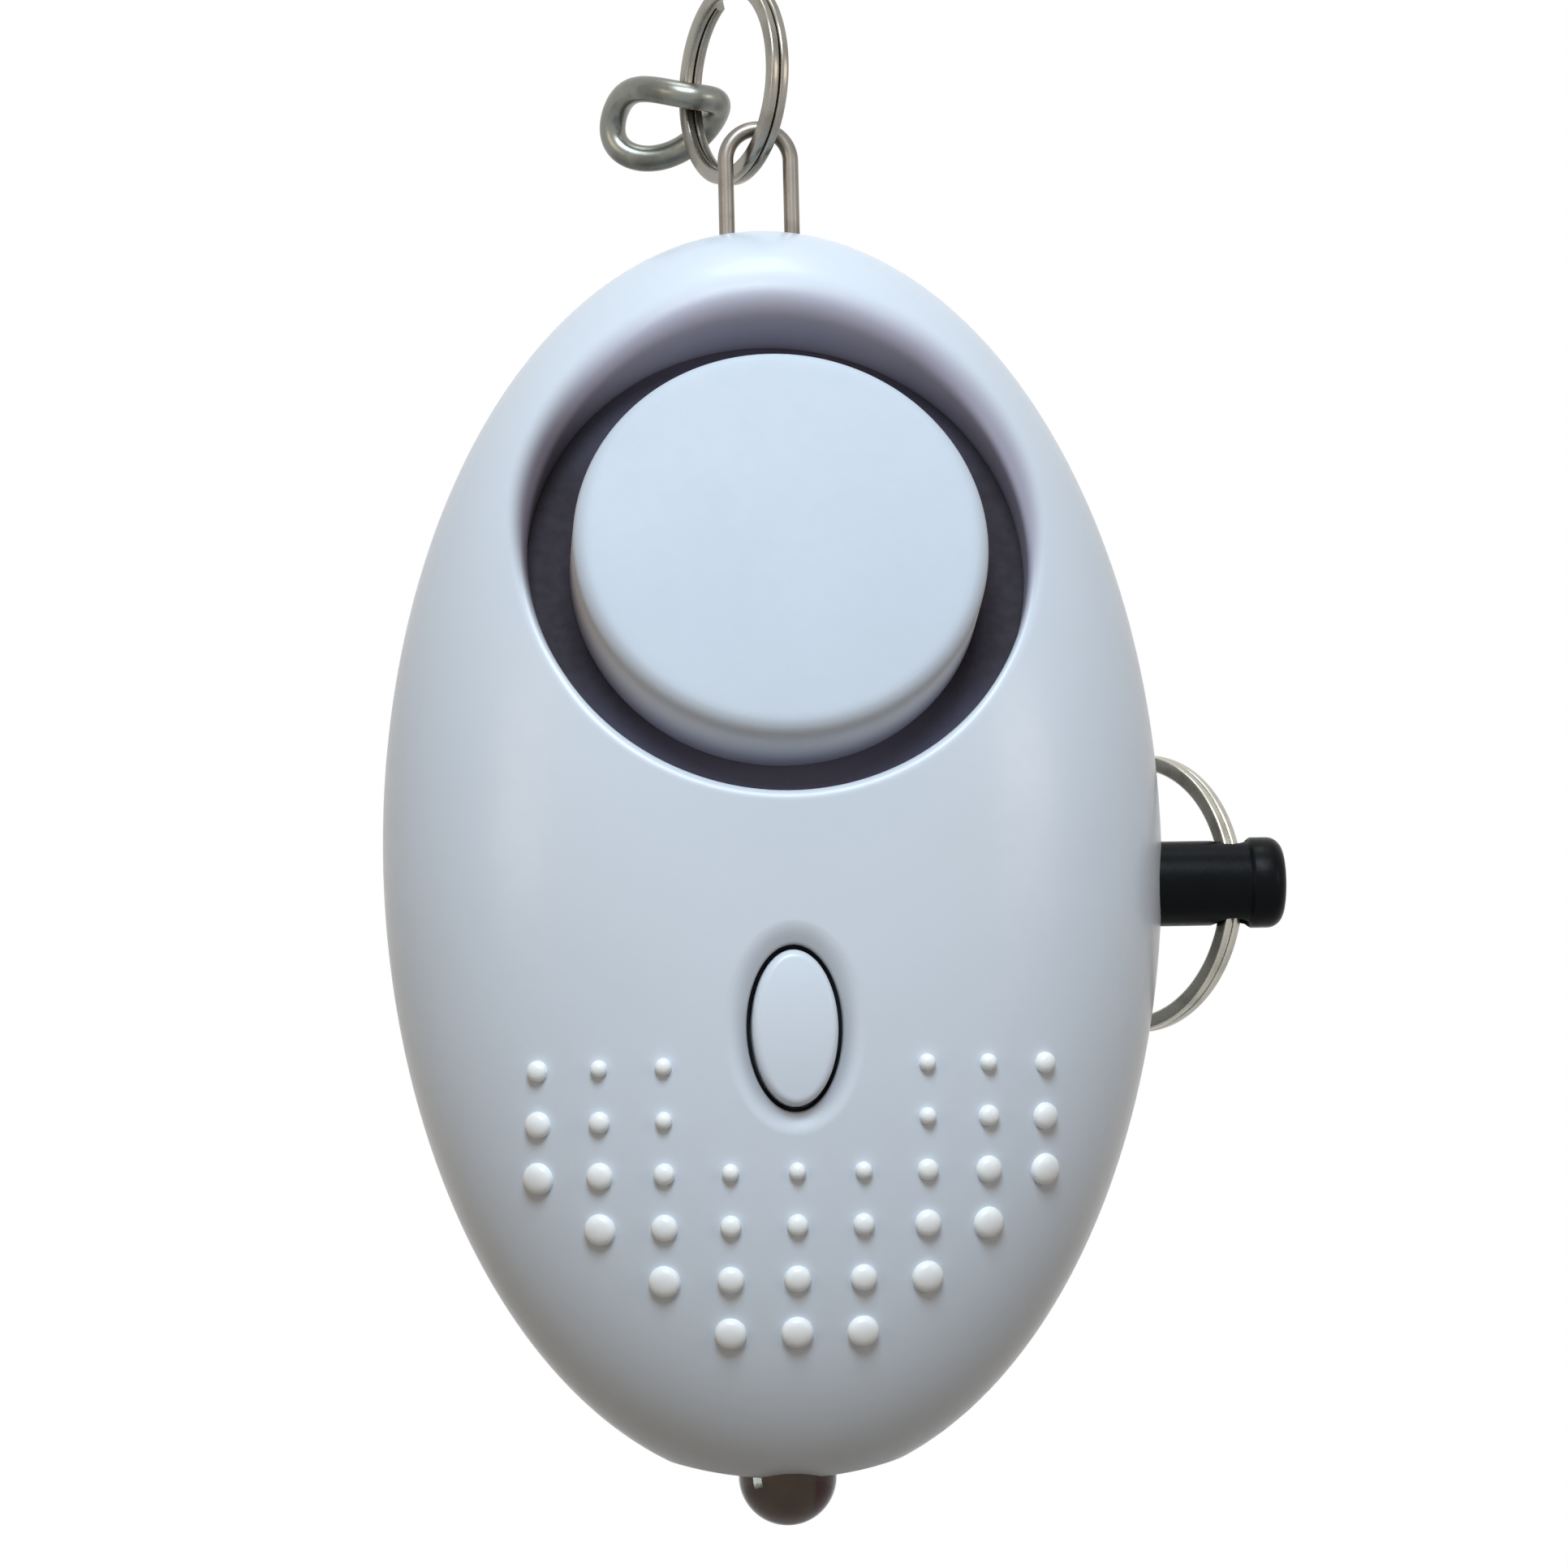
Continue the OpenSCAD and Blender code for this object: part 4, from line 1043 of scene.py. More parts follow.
def lathe(profile: Sequence[Spot], sides: int, place: Place) -> Solid:
    """Turns a profile about an axis.

    Args:
        profile: Radius and height of each point. A first or last point of radius 0 closes that end.
        sides: Points round the axis.
        place: Where a radius, an angle and a height lie.

    Returns:
        The turned shape.
    """
    solid = Solid()
    rings = []
    for radius, height in profile:
        if radius > 0:
            rings.append(solid.ring(place(radius, a, height) for a in spin(sides)))
    solid.bridge(*rings)
    for (radius, height), ring in ((profile[0], rings[0]), (profile[-1], rings[-1])):
        if radius == 0:
            tip = solid.ring([place(0.0, 0.0, height)])[0]
            solid.faces += [(ring[i], ring[(i + 1) % sides], tip) for i in range(sides)]
    return solid


def arc(middle: Spot, radius: float, start: float, end: float, steps: int) -> list[Spot]:
    """Points of an arc of a profile, whose angles in degrees run from outwards towards up."""
    angles = [radians(start + (end - start) * i / steps) for i in range(steps + 1)]
    return [(middle[0] + radius * cos(a), middle[1] + radius * sin(a)) for a in angles]


def across_x(x: float = 0.0, y: float = 0.0, z: float = 0.0) -> Place:
    """Place for a lathe whose axis runs along X through a point."""
    return lambda r, a, h: Vector((x + h, y + r * cos(a), z + r * sin(a)))


def across_y(x: float = 0.0, y: float = 0.0, z: float = 0.0) -> Place:
    """Place for a lathe whose axis runs along Y through a point."""
    return lambda r, a, h: Vector((x + r * cos(a), y + h, z + r * sin(a)))


def across_z(x: float = 0.0, y: float = 0.0, z: float = 0.0) -> Place:
    """Place for a lathe whose axis runs along Z through a point."""
    return lambda r, a, h: Vector((x + r * cos(a), y + r * sin(a), z + h))


def round_outline(spot: Spot, sides: int = 40) -> Outline:
    """Circle about a spot, by its radius."""
    return lambda r: [(spot[0] + r * cos(a), spot[1] + r * sin(a)) for a in spin(sides)]


def rod(radius: float, start: float, end: float, place: Place, sides: int = 64) -> Mesh:
    """Plain round rod between two heights of an axis."""
    return lathe([(0, start), (radius, start), (radius, end), (0, end)], sides, place).mesh("rod")


def prism(spots: Sequence[Spot], low: float, high: float) -> Mesh:
    """Straight block along Y.

    Args:
        spots: Its outline in X and Z.
        low: Depth of one end.
        high: Depth of the other end.

    Returns:
        The mesh.
    """
    solid = Solid()
    rings = [solid.flat_ring(spots, y) for y in (low, high)]
    solid.bridge(*rings)
    solid.faces += [tuple(ring) for ring in rings]
    return solid.mesh("prism")


def brick(low: Triple, high: Triple) -> Mesh:
    """Plain box between two corners."""
    spots = ((low[0], low[2]), (high[0], low[2]), (high[0], high[2]), (low[0], high[2]))
    return prism(spots, low[1], high[1])


def path_mesh(points: Sequence[Vector], closed: bool = False) -> Mesh:
    """Mesh of the edges along a path.

    Args:
        points: The path's points.
        closed: Whether the last point is joined to the first.

    Returns:
        The mesh.
    """
    made = bpy.data.meshes.new("path")
    edges = [(i, i + 1) for i in range(len(points) - 1)]
    if closed:
        edges.append((len(points) - 1, 0))
    made.from_pydata([tuple(p) for p in points], edges, [])
    return made


def evaluated_mesh(thing: Thing) -> Mesh:
    """Plain mesh of an object with its modifiers applied.

    Args:
        thing: The object, which is removed.

    Returns:
        The mesh.
    """
    bpy.context.view_layer.update()
    seen = thing.evaluated_get(bpy.context.evaluated_depsgraph_get())
    made = bpy.data.meshes.new_from_object(seen)
    bpy.data.objects.remove(thing)
    return made


def carve(mesh: Mesh, *tools: Mesh, operation: str = "DIFFERENCE") -> Mesh:
    """Cuts shapes out of a mesh, or joins them to it.

    Args:
        mesh: The mesh to work on.
        tools: Closed meshes, used one after the other.
        operation: DIFFERENCE or UNION.

    Returns:
        The worked mesh.
    """
    for tool in tools:
        work = placed(mesh.name, mesh)
        cutter = placed(tool.name, tool)
        step = work.modifiers.new("carve", "BOOLEAN")
        step.operation = operation
        step.solver = "EXACT"
        step.object = cutter
        mesh = evaluated_mesh(work)
        bpy.data.objects.remove(cutter)
    return mesh


def mended(mesh: Mesh, reach: float = 1e-3) -> Mesh:
    """Joins points that cuts left closer together than a reach, and removes faces of no area.

    Args:
        mesh: A carved mesh, which is changed.
        reach: The distance.

    Returns:
        The same mesh.
    """
    shape = bmesh.new()
    shape.from_mesh(mesh)
    bmesh.ops.remove_doubles(shape, verts=shape.verts, dist=reach)
    bmesh.ops.triangulate(shape, faces=shape.faces, quad_method="BEAUTY", ngon_method="BEAUTY")
    bmesh.ops.dissolve_degenerate(shape, edges=shape.edges, dist=reach)
    shape.to_mesh(mesh)
    shape.free()
    return mesh


def smooth_skin(made: Thing, egg: Egg, side: Side, middle: Vector) -> None:
    """Gives faces on the egg's skin the skin's own direction at their corners, so that it shines evenly.

    Args:
        made: The piece.
        egg: The form.
        side: The half of it that the piece belongs to.
        middle: The middle of the case in metres.
    """
    mesh = made.data
    points = [(v.co - middle) / MM for v in mesh.vertices]
    skin = [egg.normal(side, p) if abs(egg.excess(side, p)) < ON_SKIN else None for p in points]
    normals = [Vector(n.vector) for n in mesh.corner_normals]
    for face in mesh.polygons:
        for corner in face.loop_indices:
            true = skin[mesh.loops[corner].vertex_index]
            if true is not None and true.dot(face.normal) > SAME_WAY:
                normals[corner] = true
    mesh.normals_split_custom_set(normals)


class Growth(NodeMaker):
    """A Geometry Nodes tree with named inputs."""

    def __init__(self, name: str) -> None:
        """Starts a tree with a geometry input and a geometry output.

        Args:
            name: The tree's name.
        """
        super().__init__(bpy.data.node_groups.new(name, "GeometryNodeTree"))
        self.names: dict[str, str] = {}
        for way in ("INPUT", "OUTPUT"):
            self.tree.interface.new_socket("Geometry", in_out=way, socket_type="NodeSocketGeometry")
        self.entry = self.tree.nodes.new("NodeGroupInput")

    def given(self, name: str, kind: str = "Float") -> Value:
        """Adds a named input.

        Args:
            name: Its name.
            kind: Its kind, such as Float, Int, Object or Material.

        Returns:
            The input's value.
        """
        item = self.tree.interface.new_socket(name, in_out="INPUT", socket_type="NodeSocket" + kind)
        self.names[name] = item.identifier
        return self.value(self.entry, name)

    def end(self, shape: Socket) -> None:
        """Ends the tree in real faces of the given material.

        Args:
            shape: What the tree made.
        """
        real = self.out("GeometryNodeRealizeInstances", {"Geometry": shape})
        inputs = {"Geometry": real, "Material": self.given("Material", "Material")}
        self.node("NodeGroupOutput", {0: self.out("GeometryNodeSetMaterial", inputs)})

    def sweep(self, path: Socket, profile: Socket) -> None:
        """Ends the tree in a profile swept along a path, with closed ends."""
        inputs = {"Curve": path, "Profile Curve": profile, "Fill Caps": True}
        self.end(self.out("GeometryNodeCurveToMesh", inputs))

    def grow(self, seed: Mesh, **values: Any) -> Mesh:
        """Runs the tree on a mesh.

        Args:
            seed: The mesh that it starts from.
            values: Its inputs by name, with _ for a space.

        Returns:
            The plain mesh that it made.
        """
        thing = placed(seed.name, seed)
        step = thing.modifiers.new("growth", "NODES")
        step.node_group = self.tree
        for name, value in values.items():
            step[self.names[name.replace("_", " ")]] = value
        return evaluated_mesh(thing)


def split_ring_tree() -> Growth:
    """Tree of a flat wire wound twice into a ring, which steps across between its two ends.

    Returns:
        The tree. Its ring lies on the XY plane about the origin.
    """
    tree = Growth("split_ring")
    radius, pitch = tree.given("Radius"), tree.given("Pitch")
    whole, jog, jog_len = tree.given("Turn"), tree.given("Jog"), tree.given("Jog length")
    band, thick, rounding = tree.given("Band"), tree.given("Thickness"), tree.given("Rounding")
    count = tree.given("Points", "Int")
    line = tree.out("GeometryNodeMeshLine", {"Count": count})
    path = tree.out("GeometryNodeMeshToCurve", {"Mesh": line})
    index = tree.value(tree.node("GeometryNodeInputIndex"))
    angle = index * whole / (count - 1.0)
    step = ((angle - jog) / jog_len).between(0.0, 1.0)
    inputs = {0: angle.maths("COSINE") * radius, 1: angle.maths("SINE") * radius, 2: (step - 0.5) * pitch}
    place = tree.out("ShaderNodeCombineXYZ", inputs)
    wound = tree.out("GeometryNodeSetPosition", {"Geometry": path, "Position": place})
    upright = tree.out("GeometryNodeSetCurveNormal", {"Curve": wound}, mode="Z_UP")
    flat = tree.out("GeometryNodeCurvePrimitiveQuadrilateral", {"Width": band, "Height": thick})
    inputs = {"Curve": flat, "Radius": rounding, "Count": 4}
    tree.sweep(upright, tree.out("GeometryNodeFilletCurve", inputs, mode="POLY"))
    return tree


def round_wire_tree() -> Growth:
    """Tree of a round wire along the edges of a mesh.

    Returns:
        The tree.
    """
    tree = Growth("round_wire")
    radius, sides = tree.given("Radius"), tree.given("Sides", "Int")
    path = tree.out("GeometryNodeMeshToCurve", {"Mesh": tree.entry.outputs[0]})
    tree.sweep(path, tree.out("GeometryNodeCurvePrimitiveCircle", {"Resolution": sides, "Radius": radius}))
    return tree


def dots_tree() -> Growth:
    """Tree of round dots on points that carry their own size and direction.

    Returns:
        The tree.
    """
    tree = Growth("grip_dots")
    sides, rows, lift = tree.given("Sides", "Int"), tree.given("Rows", "Int"), tree.given("Height")
    squareness = tree.given("Squareness")
    ball = tree.out("GeometryNodeMeshUVSphere", {"Segments": sides, "Rings": rows, "Radius": 1.0})
    place = tree.node("ShaderNodeSeparateXYZ", {0: tree.out("GeometryNodeInputPosition")})
    height = tree.value(place, 2)
    squared = height.maths("ABSOLUTE").maths("POWER", squareness) * height.maths("SIGN")
    moved = tree.out("ShaderNodeCombineXYZ", {0: place.outputs[0], 1: place.outputs[1], 2: squared})
    ball = tree.out("GeometryNodeSetPosition", {"Geometry": ball, "Position": moved})
    size = tree.out("GeometryNodeInputNamedAttribute", {"Name": "dot_r"}, data_type="FLOAT")
    facing = tree.out("GeometryNodeInputNamedAttribute", {"Name": "dot_axis"}, data_type="FLOAT_VECTOR")
    turned = tree.out("FunctionNodeAlignRotationToVector", {"Vector": facing}, axis="Z")
    scale = tree.out("ShaderNodeCombineXYZ", {0: size, 1: size, 2: lift})
    inputs = {"Points": tree.entry.outputs[0], "Instance": ball, "Rotation": turned, "Scale": scale}
    tree.end(tree.out("GeometryNodeInstanceOnPoints", inputs))
    return tree


def screws_tree() -> Growth:
    """Tree of one screw repeated on points.

    Returns:
        The tree.
    """
    tree = Growth("screws")
    model = tree.given("Screw", "Object")
    screw = tree.node("GeometryNodeObjectInfo", {"Object": model}).outputs["Geometry"]
    inputs = {"Points": tree.entry.outputs[0], "Instance": screw}
    tree.end(tree.out("GeometryNodeInstanceOnPoints", inputs))
    return tree


@dataclass
class Siren:
    """Tilted well in the front shell, and the round cap that stands in it."""

    egg: Egg
    drop: float = 17.35
    tilt: float = 15.0
    well_r: float = 12.7
    floor_gap: float = 0.15
    lip_depth: float = 3.0
    lip_soft: Spot = (0.25, 1.3)
    lip_pull: float = 0.62
    lip_probe: float = 0.05
    lip_rows: int = 9
    search: Spot = (-9.0, 5.0)
    halvings: int = 40
    collar_wall: float = 1.2
    collar_end: float = -6.7
    collar_top: float = 12.0
    cap_r: float = 10.5
    cap_crown: float = 0.6
    cap_round: float = 0.95
    cap_wall: float = 1.3
    dome_steps: int = 24
    round_steps: int = 8
    wall_steps: int = 6
    groove_depth: float = 5.3
    cloth_t: float = 0.1
    cloth_lift: float = 0.01
    cloth_gap: float = 0.02
    sides: int = 160
    cap_sides: int = 192
    # Angle round the well of its lit side, where the front's finish paints a lighter shade.
    bright_at: float = 35.0

    def __post_init__(self) -> None:
        """Works out where the axis meets the skin."""
        self.origin = self.egg.point(Side.FRONT, 0.0, self.egg.half_len - self.drop)
        lean = radians(self.tilt)
        self.axis = Vector((0.0, -cos(lean), sin(lean)))
        self.upward = Vector((0.0, sin(lean), cos(lean)))

    def at(self, radius: float, angle: float, height: float) -> Vector:
        """Point at a radius, an angle and a height along the axis."""
        return self.origin + self.spoke(angle) * radius + self.axis * height

    def spoke(self, angle: float) -> Vector:
        """Direction away from the axis at an angle."""
        return Vector((cos(angle), 0.0, 0.0)) + self.upward * sin(angle)

    def skin_height(self, angle: float, radius_at: Callable[[float], float]) -> float:
        """Height at which a line or a cone round the axis leaves the egg.

        Args:
            angle: Angle round the axis.
            radius_at: Radius of the line or cone at a height.

        Returns:
            The height.
        """
        low, high = self.search
        for _ in range(self.halvings):
            height = (low + high) / 2
            if self.egg.excess(Side.FRONT, self.at(radius_at(height), angle, height)) < 0:
                low = height
            else:
                high = height
        return (low + high) / 2

    def lip(self, angle: float) -> list[Vector]:
        """Rounded lip at one angle.

        Args:
            angle: Angle round the axis.

        Returns:
            Points from the skin down to the straight wall of the well.
        """
        low, top = self.lip_soft
        soft = low + (top - low) * eased((1 + sin(angle)) / 2)
        flare = self.skin_height(angle, lambda h: max(self.well_r, self.well_r + self.lip_depth + h))
        outer = max(self.well_r, self.well_r + self.lip_depth + flare) + soft
        rim = self.skin_height(angle, lambda h: outer)
        slope = (rim - self.skin_height(angle, lambda h: outer - self.lip_probe)) / self.lip_probe
        corner = rim + slope * (self.well_r - outer)
        foot = min(-self.lip_depth, corner - soft)
        first, last = Vector((outer, rim)), Vector((self.well_r, foot))
        near = first.lerp(Vector((self.well_r, corner)), self.lip_pull)
        far = last.lerp(Vector((self.well_r, corner)), self.lip_pull)
        points = []
        for k in range(self.lip_rows + 1):
            t = k / self.lip_rows
            p = first * (1 - t) ** 3 + near * 3 * t * (1 - t) ** 2 + far * 3 * t * t * (1 - t) + last * t**3
            points.append(self.at(p.x, angle, p.y))
        return points

    def cut_well(self, solid: Solid) -> list[int]:
        """Adds the lip and the blind well to the front shell.

        Args:
            solid: The shell.

        Returns:
            The ring where the lip meets the skin.
        """
        columns = [self.lip(a) for a in spin(self.sides)]
        rings = [solid.ring(column[k] for column in columns) for k in range(self.lip_rows + 1)]
        depth = self.collar_end - self.floor_gap
        floor = solid.ring(self.at(self.well_r, a, depth) for a in spin(self.sides))
        solid.bridge(*rings, floor)
        solid.close(floor)
        return rings[0]

    def collar(self) -> Mesh:
        """Solid that the collar round the well is left of when the shell is hollowed."""
        return rod(self.well_r + self.collar_wall, self.collar_end, self.collar_top, self.at, ROUND)

    def dust_cloth(self) -> Mesh:
        """Makes the thin cloth over the sound holes.

        Returns:
            The mesh.
        """
        low = -self.groove_depth + self.cloth_lift
        top, near, far = low + self.cloth_t, self.cap_r + self.cloth_gap, self.well_r - self.cloth_gap
        profile = [(near, top), (far, top), (far, low), (near, low), (near, top)]
        return lathe(profile, ROUND, self.at).mesh("dust_cloth")

    def cap(self) -> Mesh:
        """Makes the round cap: a domed face, a rounded rim, and a hollow underneath.

        Returns:
            The mesh.
        """
        dome_r = (self.cap_r**2 + self.cap_crown**2) / (2 * self.cap_crown)
        rim_r = self.cap_r - self.cap_round
        reach = degrees(asin(rim_r / dome_r))
        dome = arc((0.0, -dome_r), dome_r, 90.0, 90.0 - reach, self.dome_steps)
        edge = dome[-1][1] - self.cap_round
        floor = -self.groove_depth
        profile = [(0.0, 0.0), *dome[1:]]
        profile += arc((rim_r, edge), self.cap_round, 90.0 - reach, 0.0, self.round_steps)[1:]
        steps = range(1, self.wall_steps + 1)
        profile += [(self.cap_r, edge + (floor - edge) * k / self.wall_steps) for k in steps]
        hollow_r, roof = self.cap_r - self.cap_wall, -self.cap_crown - self.cap_wall
        profile += [(hollow_r, floor), (hollow_r, roof), (0.0, roof)]
        return lathe(profile, self.cap_sides, self.at).mesh("siren_cap")


@dataclass
class TorchButton:
    """Oval button in a shallow dish of the front shell."""

    egg: Egg
    below: float = 9.7
    width: float = 4.4
    height: float = 7.9
    gap: float = 0.2
    proud: float = 0.35
    dome_r: float = 22.0
    edge_round: float = 0.45
    face_rows: int = 14
    rim_steps: int = 6
    flange_w: float = 0.8
    flange_t: float = 0.7
    dish_w: float = 1.25
    dish_depth: float = 0.32
    dish_rows: int = 6
    hole_round: float = 0.16
    hole_steps: int = 4
    hole_depth: float = 2.4
    shrink: float = 0.05
    # Depths and clearance of the near-black ring of painted shade in the gap.
    gap_shade_top: float = 0.45
    gap_shade_low: float = 0.95
    gap_shade_clearance: float = 0.01

    def oval(self, grow: float) -> list[Spot]:
        """Outline of the button, grown by a distance, in X and Z."""
        w, h = self.width / 2 + grow, self.height / 2 + grow
        return [(w * cos(a), h * sin(a) - self.below) for a in spin(ROUND)]

    def dished(self, x: float, z: float, grow: float) -> Vector:
        """Point of the skin at a distance from the button, sunk into the dish."""
        x, y, z = self.egg.point(Side.FRONT, x, z)
        return Vector((x, y + self.dish_depth * (1 - eased((grow - self.gap) / self.dish_w)), z))

    def cut_hole(self, solid: Solid) -> tuple[list[int], list[Vector]]:
        """Adds the button's hole to the front shell.

        Args:
            solid: The shell.

        Returns:
            The ring where the hole's rounded edge meets the dish, and points that shape the dish.
        """
        start = self.gap + self.hole_round
        rings = []
        for run, sink in quarter_round(self.hole_round, self.hole_steps):
            spots = self.oval(start - run)
            rings.append(solid.ring(self.dished(x, z, start) + Vector((0, sink, 0)) for x, z in spots))
        floor = solid.flat_ring(self.oval(self.gap), self.hole_depth - self.egg.front_bulge)
        solid.bridge(*rings, floor)
        solid.close(floor)
        room = self.dish_w - self.hole_round
        steps = [start + room * k / self.dish_rows for k in range(1, self.dish_rows + 1)]
        shape = [self.dished(x, z, grow) for grow in steps for x, z in self.oval(grow)[::2]]
        return rings[0], shape

    def cap(self, body_depth: float) -> Mesh:
        """Makes the button with its domed face, rounded rim and the flange that keeps it in.

        Args:
            body_depth: Depth of the flange's rear face.

        Returns:
            The mesh.
        """
        crown = self.egg.point(Side.FRONT, 0.0, -self.below).y - self.proud
        inner = self.edge_round + self.shrink
        rim = self.oval(-inner)
        solid = Solid()
        rings = []
        for k in range(1, self.face_rows + 1):
            share = k / self.face_rows
            rings.append(solid.ring(self.face_point(x, z, crown, share) for x, z in rim))
        for run, sink in quarter_round(self.edge_round, self.rim_steps)[1:]:
            depths = [self.face_point(x, z, crown, 1.0).y + sink for x, z in rim]
            rings.append(solid.wavy_ring(self.oval(run - inner), depths))
        step = body_depth - self.flange_t
        for grow, y in ((-self.shrink, step), (self.flange_w, step), (self.flange_w, body_depth)):
            rings.append(solid.flat_ring(self.oval(grow), y))
        solid.bridge(*rings)
        solid.close(rings[0])
        solid.close(rings[-1])
        return solid.mesh("torch_button")

    def seal(self) -> Mesh:
        """Makes the near-black ring low in the gap round the button: painted shade that darkens the gap.

        Returns:
            The mesh.
        """
        solid = Solid()
        rings = []
        outer, inner = self.gap - self.gap_shade_clearance, self.shrink
        top, low = self.gap_shade_top, self.gap_shade_low
        for grow, sink in ((outer, top), (inner, top), (inner, low), (outer, low)):
            depths = [self.dished(x, z, 0.0).y + sink for x, z in self.oval(self.gap)]
            rings.append(solid.wavy_ring(self.oval(grow), depths))
        solid.bridge(*rings, rings[0])
        return solid.mesh("button_seal")

    def face_point(self, x: float, z: float, crown: float, share: float) -> Vector:
        """Point of the domed face, drawn towards its middle.

        Args:
            x: Place across on the face's edge.
            z: Place up on it.
            crown: Depth of the face's middle.
            share: How far out the point is, from 0 at the middle to 1 at the edge.

        Returns:
            The point.
        """
        x, z = x * share, (z + self.below) * share
        sink = self.dome_r - sqrt(self.dome_r**2 - x * x - z * z)
        return Vector((x, crown + sink, z - self.below))


@dataclass
class GripDots:
    """Field of raised dots that grow towards the bottom, in columns to both sides of the button."""

    egg: Egg
    pitch_x: float = 3.32
    pitch_z: float = 2.64
    close_up: float = 0.009
    below: float = 11.5
    last_column: int = 4
    last_row: int = 5
    button_columns: int = 2
    button_rows: int = 2
    largest: float = 1.6
    step: float = 0.27
    smallest: float = 0.85
    lift: float = 0.52
    squareness: float = 0.62
    rings: int = 20

    def spots(self) -> list[Triple]:
        """Lays out the dots.

        Returns:
            Place across, place up and diameter of each dot.
        """
        found = []
        for column in range(-self.last_column, self.last_column + 1):
            first = self.button_rows if abs(column) < self.button_columns else 0
            last = min(self.last_row, self.last_row + 1 - abs(column))
            for row in range(first, last + 1):
                x = column * self.pitch_x - column**3 * self.close_up
                size = max(self.smallest, self.largest - (last - row) * self.step)
                found.append((x, -self.below - row * self.pitch_z, size))
        return found

    def mesh(self) -> Mesh:
        """Makes all dots as one mesh.

        Returns:
            The mesh.
        """
        spots = self.spots()
        points = [self.egg.point(Side.FRONT, x, z) for x, z, _ in spots]
        seed = path_mesh(points)
        radii = seed.attributes.new("dot_r", "FLOAT", "POINT")
        radii.data.foreach_set("value", [size / 2 for _, _, size in spots])
        axes = seed.attributes.new("dot_axis", "FLOAT_VECTOR", "POINT")
        axes.data.foreach_set("vector", [c for p in points for c in self.egg.normal(Side.FRONT, p)])
        shape = {"Height": self.lift, "Squareness": self.squareness}
        return dots_tree().grow(seed, Sides=SMALL_ROUND, Rows=self.rings, **shape)


@dataclass
class PullPin:
    """Black pin with a knob and the hole that its ring hangs in."""

    face_x: float
    below: float = 1.9
    barrel_r: float = 2.2
    knob_r: float = 2.35
    knob_len: float = 1.75
    knob_round: float = 0.8
    round_steps: int = 10
    edge: float = 0.12
    out: float = 6.3
    barrel_in: float = 3.0
    tip_r: float = 1.5
    tip_end_r: float = 0.9
    tip_len: float = 7.2
    hole_out: float = 3.6
    hole_r: float = 1.05
    reach: float = 4.0
    gap: float = 0.1

    def hole(self) -> Vector:
        """Middle of the ring's hole."""
        return Vector((self.face_x + self.hole_out, 0.0, -self.below))

    def mesh(self) -> Mesh:
        """Makes the pin with its knob, barrel, insulating tip and ring hole.

        Returns:
            The mesh.
        """
        end, inner = self.face_x + self.out, self.face_x - self.barrel_in
        under, tip = end - self.knob_len, inner - self.tip_len
        flat, edge, r = self.knob_r - self.knob_round, self.edge, self.barrel_r
        profile = [(0.0, end), (flat / 2, end)]
        profile += arc((flat, end - self.knob_round), self.knob_round, 90, 0, self.round_steps)
        profile += [(self.knob_r, under + edge), (self.knob_r - edge / 2, under), (r, under - edge)]
        profile += [(r, self.face_x), (r, inner + edge), (r - edge, inner)]
        profile += [(self.tip_r, inner), (self.tip_end_r, tip), (0.0, tip)]
        pin = lathe(profile, ROUND, across_x(z=-self.below)).mesh("pull_pin")
        spot = self.hole()
        return mended(carve(pin, rod(self.hole_r, -self.reach, self.reach, across_z(spot.x, 0.0, spot.z))))

    def passage(self) -> Mesh:
        """Hole in the shells that the barrel slides in."""
        start, end = self.face_x / 2, self.face_x + self.reach
        return rod(self.barrel_r + self.gap, start, end, across_x(z=-self.below))


